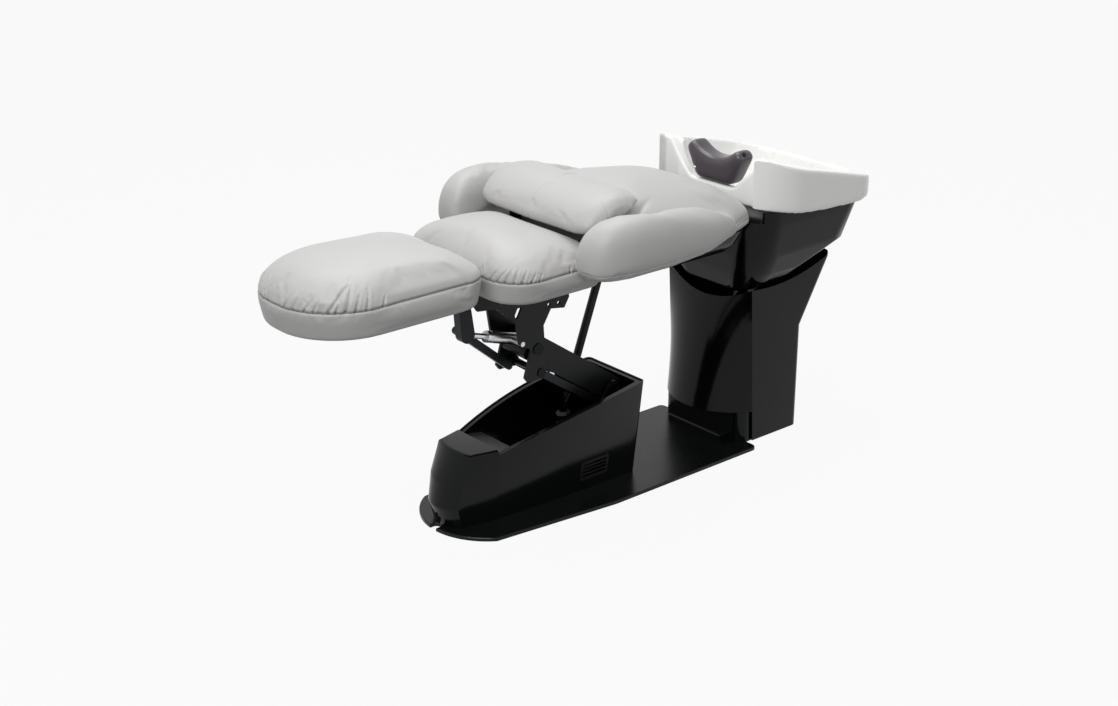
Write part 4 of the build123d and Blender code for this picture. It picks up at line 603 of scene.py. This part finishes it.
def round_corner(place):
    """Turns the basin's square front corners into round ones, by the map from a square to a disc."""
    along = (CORNER_X + CORNER - place.x) / CORNER
    aside = (abs(place.y) - (CORNER_Y - CORNER)) / CORNER
    if along > 0 and aside > 0:
        place.x = CORNER_X + CORNER - CORNER * along * math.sqrt(max(1 - aside * aside / 2, 0))
        outward = CORNER_Y - CORNER + CORNER * aside * math.sqrt(max(1 - along * along / 2, 0))
        place.y = math.copysign(outward, place.y)


low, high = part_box("basin")
CORNER_X, CORNER_Y = low.x, high.y
basin_glaze = copy_of("basin_glaze", ["basin"])
skin_over(basin_glaze, GLAZE_VOXEL_MM, GLAZE_ROUNDS)
for vert in basin_glaze.data.vertices:
    round_corner(vert.co)
slacken(basin_glaze, GLAZE_SETTLE_ROUNDS)
settle(basin_glaze)
basin_glaze.data.shade_smooth()
dress(basin_glaze, "porcelain", "bowl", ["basin"])

# Neck rest: cast gel, soft at every edge
GEL_VOXEL_MM, GEL_ROUNDS, GEL_FACTOR = 3.0, 120, 0.8
BALL_SIDES, BALL_RINGS = 32, 16
STUD_RADIUS, STUD_THICK, STUD_INSET = 5 * MM, 3 * MM, 3 * MM
STUD_ASIDE, STUD_RISE, STUD_WAY = 0.62, 0.3, (-1, 0.3, 0.2)
CAP_RADIUS, CAP_THICK, CAP_INSET, CAP_DROP = 9 * MM, 5 * MM, 7 * MM, 9 * MM
CAP_ALONG, CAP_WAY = 0.4, (0, -1, 0.5)

rest_low, rest_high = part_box("neck_rest")
rest_gel = copy_of("rest_gel", ["neck_rest"])
skin_over(rest_gel, GEL_VOXEL_MM, GEL_ROUNDS, GEL_FACTOR)
back_to_box(rest_gel, rest_low, rest_high)
refine(rest_gel)
dress(rest_gel, "soft_rubber", "bowl", ["neck_rest"])


def button(name, centre, way, radius, thick, slot, body):
    """A domed button: a squashed ball, its flat way along one direction."""
    ball = bmesh.new()
    bmesh.ops.create_uvsphere(ball, u_segments=BALL_SIDES, v_segments=BALL_RINGS, radius=radius)
    mesh = bpy.data.meshes.new(name)
    turn = Vector(way).to_track_quat("Z", "Y").to_matrix()
    for vert in ball.verts:
        vert.co.z *= thick / radius
        vert.co = turn @ vert.co + Vector(centre)
    ball.to_mesh(mesh)
    ball.free()
    mesh.shade_smooth()
    dress(new_piece(name, mesh), slot, body)


# The stud low on the rest's far side and the cap at the near horn's tip
rest_size = rest_high - rest_low
stud_place = (rest_low.x + STUD_INSET, rest_high.y * STUD_ASIDE, rest_low.z + rest_size.z * STUD_RISE)
cap_place = (rest_low.x + rest_size.x * CAP_ALONG, rest_low.y + CAP_INSET, rest_high.z - CAP_DROP)
button("rest_stud", stud_place, STUD_WAY, STUD_RADIUS, STUD_THICK, "chrome_trim", "bowl")
button("rest_cap", cap_place, CAP_WAY, CAP_RADIUS, CAP_THICK, "black_coat", "bowl")

# Floor, light and camera
FLOOR_REACH = 30.0
PAPER_ROUGHNESS, PAPER_GLOW = 0.9, 0.94    # the share of white that the camera sees, over the shadow
ROOM_LIGHT, ROOM_SEEN = 0.22, 1.0          # strength on the object, and as seen and reflected
LAMPS = (
    # name, place, aim, size in metres, watts
    ("key", (-2.6, -1.2, 3.6), (-0.2, 0, 0.6), 2.2, 100),
    ("top", (0.4, 1.0, 3.8), (0.0, 0, 0.7), 2.4, 80),
    ("fill", (1.8, -3.4, 1.8), (0.1, 0, 0.5), 2.2, 16),
)
PHOTO_WIDTH, FOCAL_PIXELS, SENSOR = 1118, 1708.0, 36.0
AZIMUTH, ELEVATION, DISTANCE = math.radians(-40.2), math.radians(21.7), 4.7678
AIM = (-0.146, 0.0, 0.4018)
VIEW_END = 100.0

scene = bpy.context.scene
floor_mesh = bpy.data.meshes.new("studio_floor")
corners = [(x * FLOOR_REACH, y * FLOOR_REACH, 0) for x, y in ((-1, -1), (1, -1), (1, 1), (-1, 1))]
floor_mesh.from_pydata(corners, [], [(0, 1, 2, 3)])
studio_floor = new_piece("studio_floor", floor_mesh)
paper = bpy.data.materials.new("studio_paper")
paper.use_nodes = True
tree = paper.node_tree
seen = add(tree, "ShaderNodeLightPath")
matt = tree.nodes["Principled BSDF"]
matt.inputs["Base Color"].default_value = linear("#8c8c8c")
matt.inputs["Roughness"].default_value = PAPER_ROUGHNESS
glow = add(tree, "ShaderNodeEmission", {"Color": linear("#ffffff"), "Strength": 1.0})
rays = add(tree, "ShaderNodeMath", {0: seen.outputs["Is Camera Ray"], 1: seen.outputs["Is Glossy Ray"]},
           operation="ADD", use_clamp=True)
share = add(tree, "ShaderNodeMath", {0: rays.outputs["Value"], 1: PAPER_GLOW}, operation="MULTIPLY")
blend = add(tree, "ShaderNodeMixShader", {0: share.outputs["Value"], 1: matt.outputs["BSDF"],
                                          2: glow.outputs["Emission"]})
tree.links.new(blend.outputs["Shader"], tree.nodes["Material Output"].inputs["Surface"])
floor_mesh.materials.append(paper)

world = bpy.data.worlds.new("studio")
scene.world = world
world.use_nodes = True
tree = world.node_tree
seen = add(tree, "ShaderNodeLightPath")
shown = add(tree, "ShaderNodeMath", {0: seen.outputs["Is Camera Ray"], 1: seen.outputs["Is Glossy Ray"]},
            operation="ADD", use_clamp=True)
shown = add(tree, "ShaderNodeMath", {0: shown.outputs["Value"], 1: seen.outputs["Is Transmission Ray"]},
            operation="ADD", use_clamp=True)
level = add(tree, "ShaderNodeMapRange", {"Value": shown.outputs["Value"], "To Min": ROOM_LIGHT,
                                         "To Max": ROOM_SEEN})
back = tree.nodes["Background"]
back.inputs["Color"].default_value = linear("#ffffff")
tree.links.new(level.outputs["Result"], back.inputs["Strength"])


def lamp(name, place, aim, size, power):
    """A square area lamp that looks at a point."""
    light = bpy.data.lights.new(name, "AREA")
    light.size, light.energy = size, power
    carrier = bpy.data.objects.new(name, light)
    scene.collection.objects.link(carrier)
    carrier.location = place
    carrier.rotation_euler = (Vector(aim) - Vector(place)).to_track_quat("-Z", "Y").to_euler()


for settings in LAMPS:
    lamp(*settings)

level_share = math.cos(ELEVATION)
back_way = Vector((math.sin(AZIMUTH) * level_share, -math.cos(AZIMUTH) * level_share, math.sin(ELEVATION)))
camera = bpy.data.cameras.new("camera")
camera.sensor_width, camera.lens = SENSOR, FOCAL_PIXELS / PHOTO_WIDTH * SENSOR
camera.clip_end = VIEW_END
eye = bpy.data.objects.new("camera", camera)
scene.collection.objects.link(eye)
eye.location = Vector(AIM) + back_way * DISTANCE
eye.rotation_euler = (-back_way).to_track_quat("-Z", "Y").to_euler()
scene.camera = eye
scene.view_settings.view_transform = "Standard"
